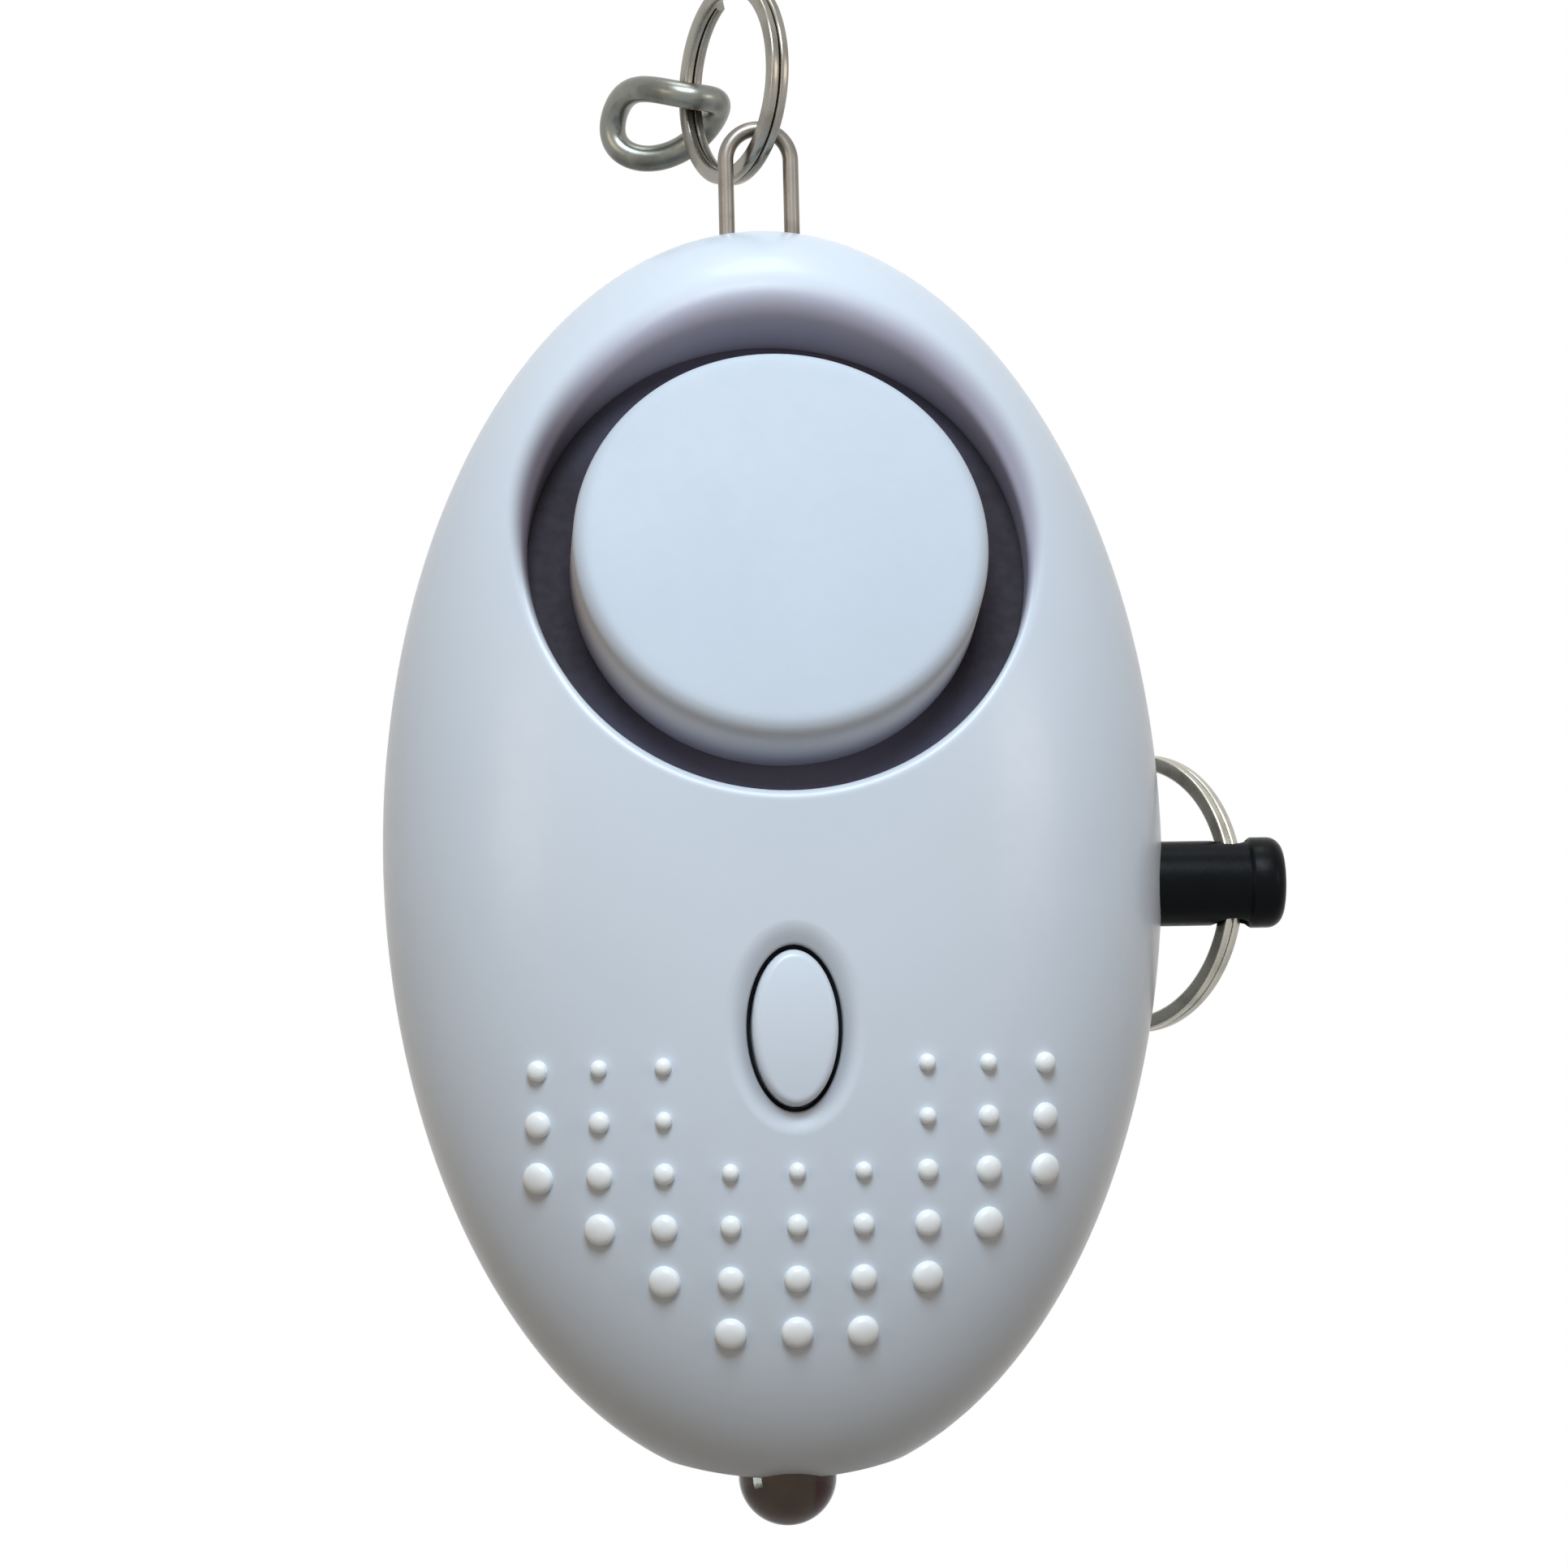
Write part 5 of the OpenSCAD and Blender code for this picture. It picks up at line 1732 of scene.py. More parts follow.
@dataclass
class TorchLamp:
    """Clear lamp at the bottom end, with the cup and posts that show through it."""

    egg: Egg
    width: float = 5.0
    flange_w: float = 5.8
    flange_t: float = 1.0
    length: float = 8.6
    out: float = 2.4
    gap: float = 0.05
    dome_steps: int = 20
    # Distance right of the lamp's axis where the lens's painted red reflection starts.
    red_reflection_x: float = 1.0
    cup_x: float = 0.5
    cup_up: float = 3.4
    cup_sides: int = 48
    hole_out: float = 8.0
    hole_in: float = 2.0
    foot_r: float = 19.0
    foot_half: Spot = (7.0, 14.0)
    foot_below: float = 6.0
    foot_above: float = 2.5
    foot_sides: int = 192
    # Radius and height above its mouth of each point of the cup.
    cup_profile: tuple[Spot, ...] = (
        (0.0, 0.5), (0.45, 0.5), (0.95, 0.0), (1.15, 0.0), (1.15, 0.25),
        (0.7, 1.0), (0.5, 1.3), (0.5, 5.0), (0.0, 5.0),
    )

    def tip_z(self) -> float:
        """Height of the lamp's tip."""
        return self.egg.foot_flat - self.egg.half_len - self.out

    def lens(self) -> Mesh:
        """Makes the clear body with its dome and flange.

        Returns:
            The mesh.
        """
        r, wide, tip = self.width / 2, self.flange_w / 2, self.tip_z()
        step, end = tip + self.length - self.flange_t, tip + self.length
        profile = [(0.0, tip), *arc((0.0, tip + r), r, -90, 0, self.dome_steps)[1:]]
        profile += [(r, step), (wide, step), (wide, end), (0.0, end)]
        return lathe(profile, ROUND, across_z()).mesh("lamp_lens")

    def cup(self) -> Mesh:
        """Cup that holds the light chip, on its post, inside the lens."""
        profile = [(r, self.tip_z() + self.cup_up + h) for r, h in self.cup_profile]
        return lathe(profile, self.cup_sides, across_z(self.cup_x)).mesh("lamp_cup")

    def passage(self) -> Mesh:
        """Hole in the shells that the lamp looks out of."""
        top, place = self.egg.wall + self.hole_in, across_z(z=-self.egg.half_len)
        return rod(self.width / 2 + self.gap, -self.hole_out, top, place, ROUND)

    def foot(self) -> Mesh:
        """Makes the block that the flatter stretch of the bottom end is cut with.

        Returns:
            The mesh.
        """
        low = -self.egg.half_len
        x, y = self.foot_half
        block = brick((-x, -y, low - self.foot_below), (x, y, low + self.foot_above))
        place = across_y(z=low + self.egg.foot_flat + self.foot_r)
        return carve(block, rod(self.foot_r, -y - 2, y + 2, place, self.foot_sides))


@dataclass
class Hanger:
    """Wire bail, split key ring and twisted chain link at the top, and the split ring on the pin."""

    egg: Egg
    centre: Vector
    ring_r: float = 5.4
    pin_ring_r: float = 7.3
    band: float = 0.8
    coil_t: float = 0.5
    coil_gap: float = 0.05
    coil_round: float = 0.16
    coil_points: int = 420
    jog_start: float = 318.0
    jog_len: float = 36.0
    spare: float = 2.0
    ring_turn: float = 67.0
    ring_start: float = 112.0
    pin_ring_turn: float = 54.0
    pin_ring_start: float = 204.0
    pin_ring_off: float = 0.15
    bail_d: float = 0.82
    bail_w: float = 3.4
    bail_rise: float = 5.5
    bail_foot: float = 1.4
    bail_bend: float = 0.5
    bail_gap: float = 0.05
    bend_steps: int = 6
    leg_steps: int = 8
    crown_points: int = 33
    bail_sides: int = 24
    hole_in: float = 2.0
    hole_out: float = 6.0
    link_len: float = 8.0
    link_w: float = 5.6
    link_d: float = 1.4
    link_twist: float = -78.0
    link_place: float = 4.0
    link_droop: float = 10.0
    link_turn: float = 28.0
    link_points: int = 96
    link_sides: int = 28
    slack: float = 0.1

    def split_ring(self, radius: float, start: float, stand: Matrix) -> Mesh:
        """Makes a split ring.

        Args:
            radius: Its outer radius.
            start: Where its wire starts, in degrees.
            stand: How it is moved from flat at the origin to its place.

        Returns:
            The mesh.
        """
        values = {
            "Radius": radius - self.band / 2,
            "Pitch": self.coil_t + self.coil_gap,
            "Turn": radians(360 + self.jog_start - self.spare),
            "Jog": radians(self.jog_start),
            "Jog_length": radians(self.jog_len),
            "Band": self.band,
            "Thickness": self.coil_t,
            "Rounding": self.coil_round,
            "Points": self.coil_points,
        }
        made = split_ring_tree().grow(path_mesh([Vector()]), **values)
        made.transform(stand @ turn(start, "Z"))
        return made

    def key_ring(self) -> Mesh:
        """Split ring at the top."""
        stand = Matrix.Translation(self.centre) @ turn(-self.ring_turn, "Z") @ turn(90, "X")
        return self.split_ring(self.ring_r, self.ring_start, stand)

    def pin_ring(self, hole: Vector) -> Mesh:
        """Makes the split ring that hangs in the pull pin's hole.

        Args:
            hole: Middle of the hole.

        Returns:
            The mesh.
        """
        shift = Matrix.Translation(Vector((self.pin_ring_off + self.band / 2 - self.pin_ring_r, 0.0, 0.0)))
        stand = Matrix.Translation(hole) @ turn(-self.pin_ring_turn, "Z") @ turn(90, "X") @ shift
        return self.split_ring(self.pin_ring_r, self.pin_ring_start, stand)

    def bail(self) -> Mesh:
        """Makes the bent wire whose feet turn outwards inside the case.

        Returns:
            The mesh.
        """
        half, bend = self.bail_w / 2, self.bail_bend
        arc_z = self.egg.half_len + self.bail_rise - half
        reach = (half + self.bail_foot) / (self.egg.half_w - self.egg.wall)
        inner = (self.egg.half_len - self.egg.wall) * sqrt(1 - reach**2)
        foot = inner - self.bail_d / 2 - 2 * self.slack
        leg = [Vector((half + self.bail_foot, 0, foot))]
        leg += [Vector((half + bend - x, 0, foot + z)) for x, z in quarter_round(bend, self.bend_steps)]
        rise = arc_z - foot - bend
        leg += [Vector((half, 0, foot + bend + rise * k / self.leg_steps)) for k in range(1, self.leg_steps)]
        turns = np.linspace(0, pi, self.crown_points)
        crown = [Vector((half * cos(a), 0, arc_z + half * sin(a))) for a in turns]
        far = [Vector((-p.x, 0, p.z)) for p in reversed(leg)]
        path = path_mesh([*leg, *crown, *far])
        return round_wire_tree().grow(path, Radius=self.bail_d / 2, Sides=self.bail_sides)

    def bail_holes(self) -> list[Mesh]:
        """Makes the holes in the shells that the bail's legs pass through.

        Returns:
            One mesh for each hole.
        """
        low, high = -self.egg.wall - self.hole_in, self.hole_out
        r = self.bail_d / 2 + self.bail_gap
        places = [across_z(s * self.bail_w / 2, 0, self.egg.half_len) for s in BOTH]
        return [rod(r, low, high, place, SMALL_ROUND) for place in places]

    def link(self) -> Mesh:
        """Makes the oval link, twisted towards its free end.

        Returns:
            The mesh.
        """
        a, b = (self.link_len - self.link_d) / 2, (self.link_w - self.link_d) / 2
        points = []
        for t in spin(self.link_points):
            x, y = a * cos(t), b * sin(t)
            twist = radians(self.link_twist) * (1 - x / a) / 2
            points.append(Vector((x, y * cos(twist), y * sin(twist))))
        path = path_mesh(points, closed=True)
        made = round_wire_tree().grow(path, Radius=self.link_d / 2, Sides=self.link_sides)
        wire_r = hypot(2 * self.coil_t + self.coil_gap, self.band) / 2
        hook = self.link_d / 2 + wire_r / cos(radians(self.link_droop)) + self.slack
        made.transform(
            Matrix.Translation(self.centre)
            @ turn(-self.ring_turn, "Z")
            @ turn(-self.link_place, "Y")
            @ Matrix.Translation(Vector((self.band / 2 - self.ring_r, 0, 0)))
            @ turn(self.link_turn, "Z")
            @ turn(self.link_place - self.link_droop, "Y")
            @ Matrix.Translation(Vector((hook - a, 0, 0)))
        )
        return made


@dataclass
class BatteryDoor:
    """Battery cover in the rear shell, the pocket that it lies in, and the screws of the rear."""

    egg: Egg
    width: float = 24.0
    height: float = 18.6
    corner: float = 8.0
    gap: float = 0.15
    depth: float = 4.8
    ledge_w: float = 1.0
    ledge_t: float = 1.6
    ledge_gap: float = 0.02
    edge_round: float = 0.2
    edge_steps: int = 4
    frame_top: float = 14.0
    cell_d: float = 11.6
    cell_gap: float = 0.2
    cells_half: float = 9.35
    cells_y: float = 2.19
    cells_z: float = -11.6
    head_r: float = 1.7
    head_h: float = 1.1
    head_round: float = 0.35
    head_gap: float = 0.2
    # Length and width of the cross's arms, as shares of the head's radius.
    cross: Spot = (0.6, 0.15)
    shank_r: float = 0.85
    shank_gap: float = 0.1
    shank_len: float = 6.0
    case_shank_len: float = 7.0
    point_share: float = 0.6
    thread_t: float = 0.14
    thread_start: float = 0.4
    thread_pitch: float = 0.62
    thread_rise: float = 0.25
    thread_room: float = 0.7
    recess: float = 1.0
    seat_y: float = 3.2
    boss_r: float = 1.9
    screw_in: float = 1.1
    screw_aside: float = 0.75
    upper_z: float = 5.5
    lower_drop: float = 1.8
    pitch: float = 0.7
    sides: int = 16
    run_steps: int = 8
    screw_sides: int = 48
    round_steps: int = 6

    def __post_init__(self) -> None:
        """Works out places from the cells and the form of the case."""
        self.middle_z = self.cells_z + self.cell_d / 2 + self.ledge_w + self.cell_gap - self.height / 2
        self.ledge_y = self.egg.rear_bulge - self.depth
        self.screw_z = self.middle_z - self.height / 2 + self.head_r + self.screw_in
        upper = self.egg.half_w - self.egg.wall - self.boss_r - self.screw_aside
        lower = self.width / 2 + self.gap + self.head_r + self.screw_aside
        self.case_spots = [(s * upper, self.upper_z) for s in BOTH]
        self.case_spots += [(s * lower, self.cells_z - self.lower_drop) for s in BOTH]

    def outline(self, grow: float) -> list[Spot]:
        """Outline of the cover in X and Z.

        Args:
            grow: Distance that it is grown by.

        Returns:
            Its spots.
        """
        r = self.corner + grow
        half_w, half_h = self.width / 2 - self.corner, self.height / 2 - self.corner
        corners = ((1, 1), (-1, 1), (-1, -1), (1, -1))
        spots = []
        for quarter, ((sx, sz), (nx, nz)) in enumerate(zip(corners, corners[1:] + corners[:1])):
            for k in range(self.sides + 1):
                a = QUARTER * (quarter + k / self.sides)
                spots.append((sx * half_w + r * cos(a), self.middle_z + sz * half_h + r * sin(a)))
            run = Vector(((nx - sx) * half_w, (nz - sz) * half_h))
            x, z = spots[-1]
            steps = range(1, self.run_steps)
            spots += [(x + run.x * k / self.run_steps, z + run.y * k / self.run_steps) for k in steps]
        return spots

    def edge_rings(self, solid: Solid, outline: Outline, out: float, inward: float) -> list[list[int]]:
        """Rounded edge between the rear skin and a wall.

        Args:
            solid: The shape that it belongs to.
            outline: Outline grown by a distance.
            out: Distance of the wall from the outline.
            inward: 1 where the skin lies outside the wall, and -1 where it lies inside.

        Returns:
            Rings from the skin to the wall.
        """
        rings = []
        for run, sink in quarter_round(self.edge_round, self.edge_steps):
            spots = outline(out + inward * (self.edge_round - run))
            rings.append(solid.ring(self.egg.point(Side.REAR, x, z) - Vector((0, sink, 0)) for x, z in spots))
        return rings

    def cut_pocket(self, solid: Solid) -> list[int]:
        """Adds the cover's pocket to the rear shell.

        Args:
            solid: The shell.

        Returns:
            The ring where the pocket meets the skin.
        """
        rings = self.edge_rings(solid, self.outline, self.gap, 1)
        floor = solid.flat_ring(self.outline(self.gap), self.ledge_y)
        solid.bridge(*rings, floor)
        solid.faces.append(tuple(floor))
        return rings[0]

    def cut_well(self, solid: Solid, spot: Spot, floor_y: float) -> list[int]:
        """Adds a screw's well to a shape.

        Args:
            solid: The shape.
            spot: The well's middle in X and Z.
            floor_y: Depth of its floor.

        Returns:
            The ring where the well meets the skin.
        """
        circle, well_r = round_outline(spot), self.head_r + self.head_gap
        rings = self.edge_rings(solid, circle, well_r, 1)
        floor = solid.flat_ring(circle(well_r), floor_y)
        solid.bridge(*rings, floor)
        solid.close(floor)
        return rings[0]

    def opening(self) -> Mesh:
        """Makes the opening inside the ledge, with the boss of the cover's screw left standing.

        Returns:
            The mesh.
        """
        low, high = self.ledge_y - self.ledge_t - 1, self.ledge_y + 0.5
        boss = rod(self.boss_r + self.ledge_w, low - 2, high + 2, across_y(0, 0, self.screw_z))
        return carve(prism(self.outline(-self.ledge_w), low, high), boss)

    def frame(self) -> Mesh:
        """Makes the ledge and the boss that stay when the rear shell is hollowed.

        Returns:
            The mesh.
        """
        ledge = prism(self.outline(self.gap + self.ledge_w), self.ledge_y - self.ledge_t, self.frame_top)
        low, place = self.ledge_y - self.shank_len, across_y(0, 0, self.screw_z)
        return carve(ledge, rod(self.boss_r, low, self.ledge_y, place), operation="UNION")

    def cells_room(self) -> Mesh:
        """Room that the cells need in the cover and the ledge."""
        place = across_x(0, self.cells_y, self.cells_z)
        return rod(self.cell_d / 2 + self.cell_gap, -self.cells_half, self.cells_half, place, ROUND)

    def cover(self) -> Mesh:
        """Makes the cover with a rounded edge and the recess of its screw.

        Returns:
            The mesh.
        """
        solid = Solid()
        edge = self.edge_rings(solid, self.outline, 0.0, -1)
        floor = solid.flat_ring(self.outline(0.0), self.ledge_y + self.ledge_gap)
        solid.bridge(*edge, floor)
        solid.faces.append(tuple(floor))
        well = self.cut_well(solid, (0.0, self.screw_z), self.ledge_y + self.recess)
        solid.skin(self.egg, Side.REAR, self.pitch, edge[0], [well])
        place = across_y(0, self.ledge_y, self.screw_z)
        hole = rod(self.shank_r + self.shank_gap, -2.0, self.recess + 1, place, SMALL_ROUND)
        return mended(carve(solid.mesh("battery_cover"), self.cells_room(), hole))

    def screw(self, length: float) -> Mesh:
        """Makes a cross-head screw along -Y with the underside of its head at the origin.

        Args:
            length: Length of its shank.

        Returns:
            The mesh.
        """
        r, h, edge = self.head_r, self.head_h, self.head_round
        profile = [(0.0, h), *arc((r - edge, h - edge), edge, 90, 0, self.round_steps)]
        profile += [(r, 0.0), (self.shank_r, 0.0)]
        for k in range(int(length / self.thread_room)):
            y = -self.thread_start - k * self.thread_pitch
            profile += [(self.shank_r - self.thread_t, y), (self.shank_r, y - self.thread_rise)]
        profile += [(self.shank_r * self.point_share, -length), (0.0, -length)]
        made = lathe(profile, self.screw_sides, across_y()).mesh("screw")
        arm, slot = (r * share for share in self.cross)
        bars = [brick((-x, h / 2, -z), (x, h + 1, z)) for x, z in ((arm, slot), (slot, arm))]
        return carve(made, *bars)

    def screws(self, spots: Sequence[Vector], length: float) -> Mesh:
        """Puts one screw on each spot.

        Args:
            spots: Undersides of the heads.
            length: Length of the shanks.

        Returns:
            All screws as one mesh.
        """
        shape = self.screw(length)
        model = placed(shape.name, shape)
        made = screws_tree().grow(path_mesh(spots), Screw=model)
        bpy.data.objects.remove(model)
        return made


@dataclass
class Case:
    """Front and rear shells, with everything that is cut into them."""

    egg: Egg
    siren: Siren
    button: TorchButton
    lamp: TorchLamp
    pin: PullPin
    hanger: Hanger
    door: BatteryDoor
    pitch: float = 0.62
    edge_sides: int = 288
    hollow_sides: int = 144
    rows: int = 40
    past_parting: float = 3.0
    boss_r: float = 2.4
    # Ends of the bosses and bores behind the screws, along Y.
    boss_run: Spot = (-4.0, 12.0)
    bore_run: Spot = (-1.0, 5.0)
    pilot_run: Spot = (-5.3, 2.0)
    boss_sides: int = 40
    bore_sides: int = 24

    def cavity(self, side: Side) -> Mesh:
        """Makes the hollow of one half, open past the parting plane.

        Args:
            side: The half.

        Returns:
            The mesh.
        """
        solid = Solid()
        inset, sign, sides = self.egg.wall, side.value, self.hollow_sides
        rings = [solid.ring(self.egg.outline(sides, inset, y)) for y in (-sign * self.past_parting, 0.0)]
        for k in range(1, self.rows):
            slope = QUARTER * (1 - k / self.rows)
            reach = sin(slope) ** (2 / self.egg.fullness)
            y = sign * (self.egg.bulge(side) - inset) * cos(slope)
            w, h = (self.egg.half_w - inset) * reach, (self.egg.half_len - inset) * reach
            rings.append(solid.ring(oval_points(w, h, y, sides)))
        solid.bridge(*rings)
        solid.close(rings[-1])
        solid.close(rings[0])
        return solid.mesh("cavity")

    def rim(self, solid: Solid, side: Side) -> list[int]:
        """Adds the parting face with its bevelled seam.

        Args:
            solid: The shell.
            side: The half that it is.

        Returns:
            The ring where the skin starts.
        """
        seam = self.egg.seam
        reach = (1 - (seam / self.egg.bulge(side)) ** 2) ** (1 / self.egg.fullness)
        w, h = self.egg.half_w * reach, self.egg.half_len * reach
        edge = solid.ring(oval_points(w, h, side.value * seam, self.edge_sides))
        flat = solid.ring(self.egg.outline(self.edge_sides, seam, 0.0))
        solid.bridge(edge, flat)
        solid.close(flat)
        return edge

    def passages(self) -> list[Mesh]:
        """Holes and the flat that both shells share."""
        return [self.pin.passage(), self.lamp.passage(), self.lamp.foot(), *self.hanger.bail_holes()]

    def front(self) -> Mesh:
        """Makes the front shell with the siren's well and the button's hole.

        Returns:
            The mesh.
        """
        solid = Solid()
        edge = self.rim(solid, Side.FRONT)
        lip = self.siren.cut_well(solid)
        hole, dish = self.button.cut_hole(solid)
        solid.skin(self.egg, Side.FRONT, self.pitch, edge, [lip, hole], dish, self.pitch / 2)
        hollow = carve(self.cavity(Side.FRONT), self.siren.collar())
        return mended(carve(solid.mesh("front_case"), hollow, *self.passages()))

    def rear(self) -> Mesh:
        """Makes the rear shell with the cover's pocket and the screws' wells.

        Returns:
            The mesh.
        """
        door = self.door
        solid = Solid()
        edge = self.rim(solid, Side.REAR)
        holes = [door.cut_pocket(solid)]
        holes += [door.cut_well(solid, spot, door.seat_y) for spot in door.case_spots]
        solid.skin(self.egg, Side.REAR, self.pitch, edge, holes)
        places = [across_y(x, 0.0, z) for x, z in door.case_spots]
        bosses = [rod(self.boss_r, *self.boss_run, place, self.boss_sides) for place in places]
        hollow = carve(self.cavity(Side.REAR), door.frame(), *bosses)
        bore_r = door.shank_r + door.shank_gap
        bores = [rod(bore_r, *self.bore_run, place, self.bore_sides) for place in places]
        place = across_y(0, door.ledge_y, door.screw_z)
        pilot = rod(door.shank_r, *self.pilot_run, place, self.bore_sides)
        cuts = [hollow, door.opening(), door.cells_room(), pilot, *bores, *self.passages()]
        return mended(carve(solid.mesh("rear_case"), *cuts))


@dataclass(frozen=True)
class SoftLamp:
    """Square lamp that looks at the case. Shiny things show it where it is mirrored."""

    name: str
    place: Triple
    size: float
    watts: float
    tint: Rgb
    mirrored: bool = True


LAMPS = (
    SoftLamp("sky", (10.0, -30.0, 360.0), 120.0, 0.23, (0.92, 0.98, 1.0)),
    SoftLamp("front", (-25.0, -318.0, 280.0), 170.0, 1.57, (0.78, 0.89, 1.0)),
    SoftLamp("left", (-300.0, -257.0, 60.0), 120.0, 0.155, (1.0, 0.78, 0.56)),
    SoftLamp("right", (300.0, -257.0, 60.0), 120.0, 0.17, (1.0, 0.88, 0.79)),
    SoftLamp("rear", (60.0, 380.0, 170.0), 260.0, 0.9, (0.9, 0.96, 1.0), mirrored=False),
)
WINDOW = SoftLamp("window", (-290.0, -40.0, -72.0), 130.0, 0.95, (0.9, 1.0, 0.95))


def seen_share(maker: NodeMaker) -> Value:
    """Tells the rays that show a surface to the eye from other light.

    Args:
        maker: The tree that it is for.

    Returns:
        1 for a ray that is seen straight, mirrored or through glass, and 0 for other light.
    """
    rays = maker.node("ShaderNodeLightPath")
    seen = maker.value(rays, "Is Camera Ray") + maker.value(rays, "Is Glossy Ray")
    return (seen + maker.value(rays, "Is Transmission Ray")).maths("MINIMUM", 1.0)


@dataclass
class Studio:
    """Camera at the photograph's place, soft lamps, a pale floor and a pale surround."""

    middle: Vector
    image: float = 1932.0
    distance: float = 300.0
    yaw: float = 4.92
    pitch: float = 6.08
    roll: float = 1.31
    pixels_per_mm: float = 23.9
    middle_pixel: Spot = (953.2, 1051.2)
    sensor: float = 36.0
    clip: Spot = (0.01, 20.0)
    floor_drop: float = 92.0
    floor_reach: Spot = (80.0, 420.0)
    floor_fade: Spot = (90.0, 400.0)
    floor_fill: Rgb = (0.17, 0.145, 0.12)
    floor_seen: Rgb = (0.86, 0.86, 0.86)
    floor_rough: float = 0.9
    fill_below: Rgb = (0.12, 0.083, 0.056)
    fill_above: Rgb = (0.203, 0.158, 0.118)
    fill_range: Spot = (-0.8, 0.9)

    def axes(self) -> tuple[Vector, Vector, Vector]:
        """Works out how the camera is turned.

        Returns:
            Directions to its right, up and back.
        """
        yaw, pitch, roll = (radians(a) for a in (self.yaw, self.pitch, self.roll))
        away = Vector((-sin(yaw) * cos(pitch), -cos(yaw) * cos(pitch), -sin(pitch)))
        right = Vector((cos(yaw), -sin(yaw), 0.0))
        up = away.cross(right)
        c, s = cos(roll), sin(roll)
        return right * c - up * s, right * s + up * c, away

    def camera(self) -> None:
        """Makes the camera."""
        right, up, away = self.axes()
        half = self.image / 2
        aside = (half - self.middle_pixel[0]) / self.pixels_per_mm
        above = (self.middle_pixel[1] - half) / self.pixels_per_mm
        data = bpy.data.cameras.new("camera")
        data.sensor_width = data.sensor_height = self.sensor
        data.lens = self.sensor * self.distance / (self.image / self.pixels_per_mm)
        data.clip_start, data.clip_end = self.clip
        made = placed("camera", data)
        place = self.middle + (away * self.distance + right * aside + up * above) * MM
        made.matrix_world = Matrix.Translation(place) @ Matrix((right, up, away)).transposed().to_4x4()
        bpy.context.scene.camera = made

    def lamp(self, given: SoftLamp) -> Thing:
        """Makes a lamp.

        Args:
            given: What it is like.

        Returns:
            The lamp.
        """
        data = bpy.data.lights.new(given.name, "AREA")
        data.size = given.size * MM
        data.energy = given.watts
        data.color = given.tint
        made = placed(given.name, data)
        made.location = self.middle + Vector(given.place) * MM
        made.rotation_mode = "QUATERNION"
        made.rotation_quaternion = (-Vector(given.place)).to_track_quat("-Z", "Y")
        made.visible_glossy = made.visible_transmission = given.mirrored
        return made

    def window(self, lens: Thing) -> None:
        """Makes a small window that only one piece shows.

        Args:
            lens: The piece.
        """
        takers = bpy.data.collections.new("window_takers")
        takers.objects.link(lens)
        self.lamp(WINDOW).light_linking.receiver_collection = takers

    def floor(self) -> None:
        """Makes the pale floor, which fades into the surround."""
        solid = Solid()
        place = across_z(z=-self.floor_drop)
        rings = [solid.ring(place(r, a, 0.0) for a in spin(ROUND)) for r in self.floor_reach]
        solid.bridge(*rings)
        solid.close(rings[0])
        mesh = solid.mesh("floor")
        mesh.transform(Matrix.Translation(self.middle) @ Matrix.Scale(MM, 4))
        paint = Paint("floor")
        colour = paint.mix(seen_share(paint), self.floor_fill, self.floor_seen)
        x, y = paint.along("X"), paint.along("Y")
        reach = (x * x + y * y).maths("SQRT")
        paint.wear(Base_Color=colour, Roughness=self.floor_rough, Alpha=1 - reach.between(*self.floor_fade))
        mesh.materials.append(paint.material)
        placed("floor", mesh)

    def surround(self) -> None:
        """Makes the world: white where it is seen or mirrored, and a dimmer fill light otherwise."""
        world = bpy.data.worlds.new("surround")
        world.use_nodes = True
        bpy.context.scene.world = world
        maker = NodeMaker(world.node_tree)
        maker.tree.nodes.clear()
        direction = maker.node("ShaderNodeTexCoord").outputs["Generated"]
        height = maker.value(maker.node("ShaderNodeSeparateXYZ", {0: direction}), "Z")
        colour = maker.mix(height.between(*self.fill_range), self.fill_below, self.fill_above)
        fill = maker.out("ShaderNodeBackground", {"Color": colour, "Strength": 1.0})
        white = maker.out("ShaderNodeBackground", {"Color": (1.0, 1.0, 1.0, 1.0), "Strength": 1.0})
        both = maker.out("ShaderNodeMixShader", {0: seen_share(maker), 1: fill, 2: white})
        maker.node("ShaderNodeOutputWorld", {"Surface": both})

    def build(self) -> None:
        """Makes the whole studio."""
        self.camera()
        for given in LAMPS:
            self.lamp(given)
        self.floor()
        self.surround()
        bpy.context.scene.view_settings.view_transform = "Standard"


def flange_depth(middle: Vector) -> float:
    """Depth of the torch button's rear face, read off its packed node."""
    return (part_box("torch_button")[1].y - middle.y) / MM


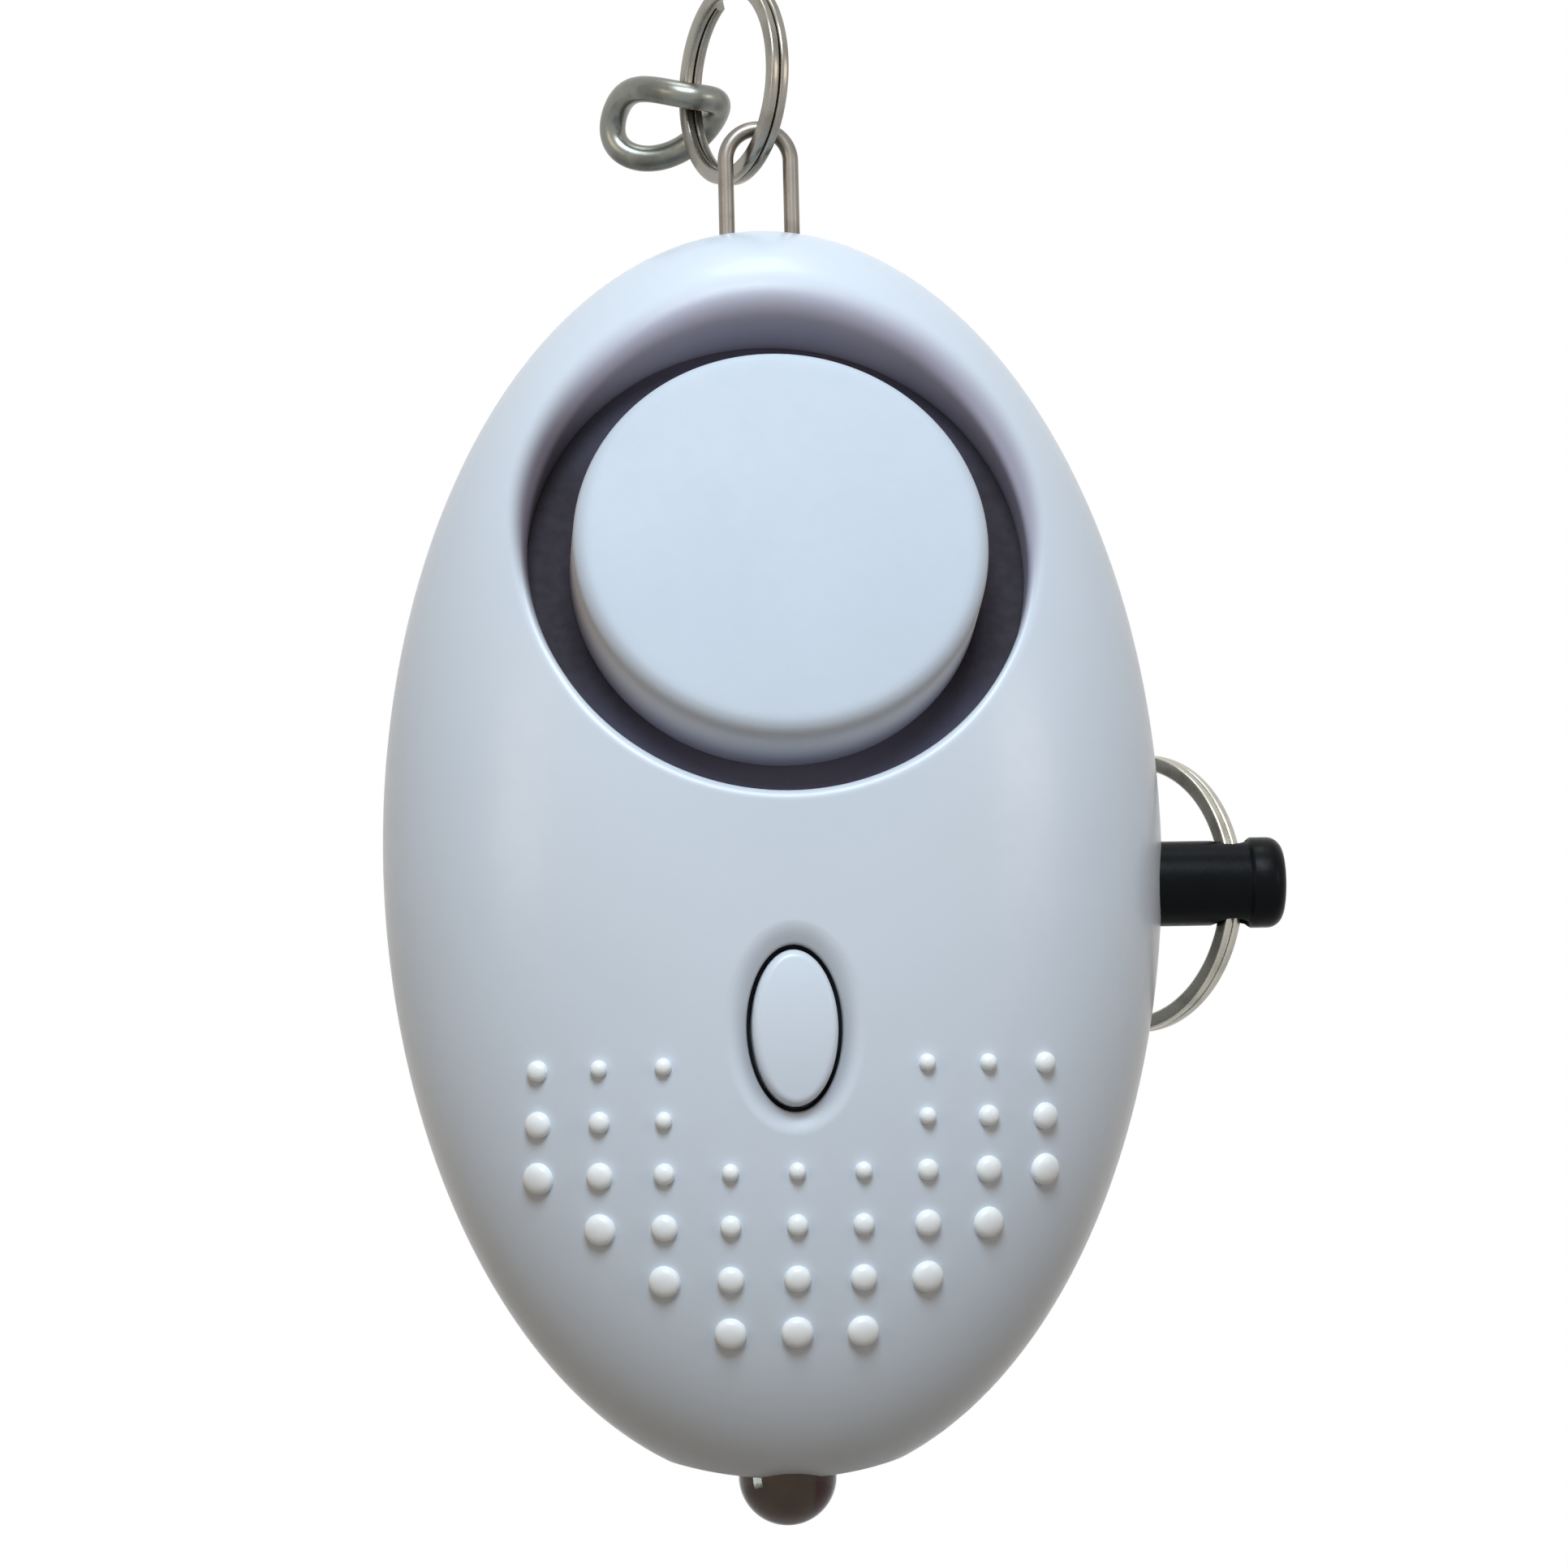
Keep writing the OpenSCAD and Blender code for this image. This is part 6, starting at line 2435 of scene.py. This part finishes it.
def main() -> None:
    """Loads the frame, builds each sub-assembly and dresses it."""
    logging.basicConfig(level=logging.INFO, format="%(name)s: %(message)s")
    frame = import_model()
    egg, middle = Egg.from_frame()
    shop = Workshop(middle)
    studio = Studio(middle)
    studio.build()

    siren = Siren(egg)
    button = TorchButton(egg)
    lamp = TorchLamp(egg)
    pin = PullPin(egg.half_w)
    hanger = Hanger(egg, -middle / MM)
    door = BatteryDoor(egg)
    case = Case(egg, siren, button, lamp, pin, hanger, door)

    front_finish = FrontMoulding(
        **{**vars(WHITE_CASE), "name": "white_front"},
        origin=tuple(siren.origin + middle / MM),
        axis=tuple(siren.axis),
        upward=tuple(siren.upward),
        bright=tuple(siren.spoke(radians(siren.bright_at))),
        oval=(button.width / 2 + button.gap, button.height / 2 + button.gap),
        oval_at=(middle.x / MM, middle.z / MM - button.below),
    )
    cap_finish = CapMoulding(
        **{**vars(WHITE_CAP), "name": "white_disc"}, origin=front_finish.origin, axis=front_finish.axis
    )
    cloth_finish = replace(DUST_CLOTH, origin=front_finish.origin, upward=front_finish.upward)
    lens_finish = replace(LENS, red_reflection_at=middle.x / MM + lamp.red_reflection_x)

    front = shop.piece("front_case", case.front(), front_finish, "case", "front_shell")
    smooth_skin(front, egg, Side.FRONT, middle)
    rear = shop.piece("rear_case", case.rear(), WHITE_CASE, "case", "rear_shell")
    smooth_skin(rear, egg, Side.REAR, middle)
    shop.piece("grip_dots", GripDots(egg).mesh(), WHITE_DOT, "case")
    shop.piece("siren_disc", siren.cap(), cap_finish, "case", "siren_cap")
    shop.piece("dust_cloth", siren.dust_cloth(), cloth_finish, "case")
    shop.piece("button_seal", button.seal(), GAP_SHADE, "case")
    shop.piece("torch_oval", button.cap(flange_depth(middle)), WHITE_CASE, "torch_button", "torch_button")
    lens = shop.piece("lamp_lens", lamp.lens(), lens_finish, "case", "torch_lamp")
    studio.window(lens)
    shop.piece("lamp_cup", lamp.cup(), LEAD_STEEL, "case")
    shop.piece("pin_body", pin.mesh(), BLACK_PIN, "pull_pin", "pull_pin")
    shop.piece("pin_split_ring", hanger.pin_ring(pin.hole()), PIN_RING_STEEL, "pin_ring", "pin_ring")
    shop.piece("key_split_ring", hanger.key_ring(), RING_STEEL, "key_ring", "key_ring")
    shop.piece("wire_bail", hanger.bail(), BAIL_STEEL, "case", "key_bail")
    shop.piece("twisted_link", hanger.link(), LINK_STEEL, "chain_link", "chain_link")
    cover = shop.piece("battery_door", door.cover(), WHITE_CASE, "battery_cover", "battery_cover")
    smooth_skin(cover, egg, Side.REAR, middle)
    seats = [Vector((x, door.seat_y, z)) for x, z in door.case_spots]
    shop.piece("rear_screws", door.screws(seats, door.case_shank_len), SCREW_STEEL, "case", "case_screws")
    seat = Vector((0.0, door.ledge_y + door.recess, door.screw_z))
    door_screw = door.screws([seat], door.shank_len)
    shop.piece("door_screw", door_screw, SCREW_STEEL, "battery_cover", "cover_screw")
    shop.dress_nodes(frame["nodes"])


if __name__ == "__main__":
    main()
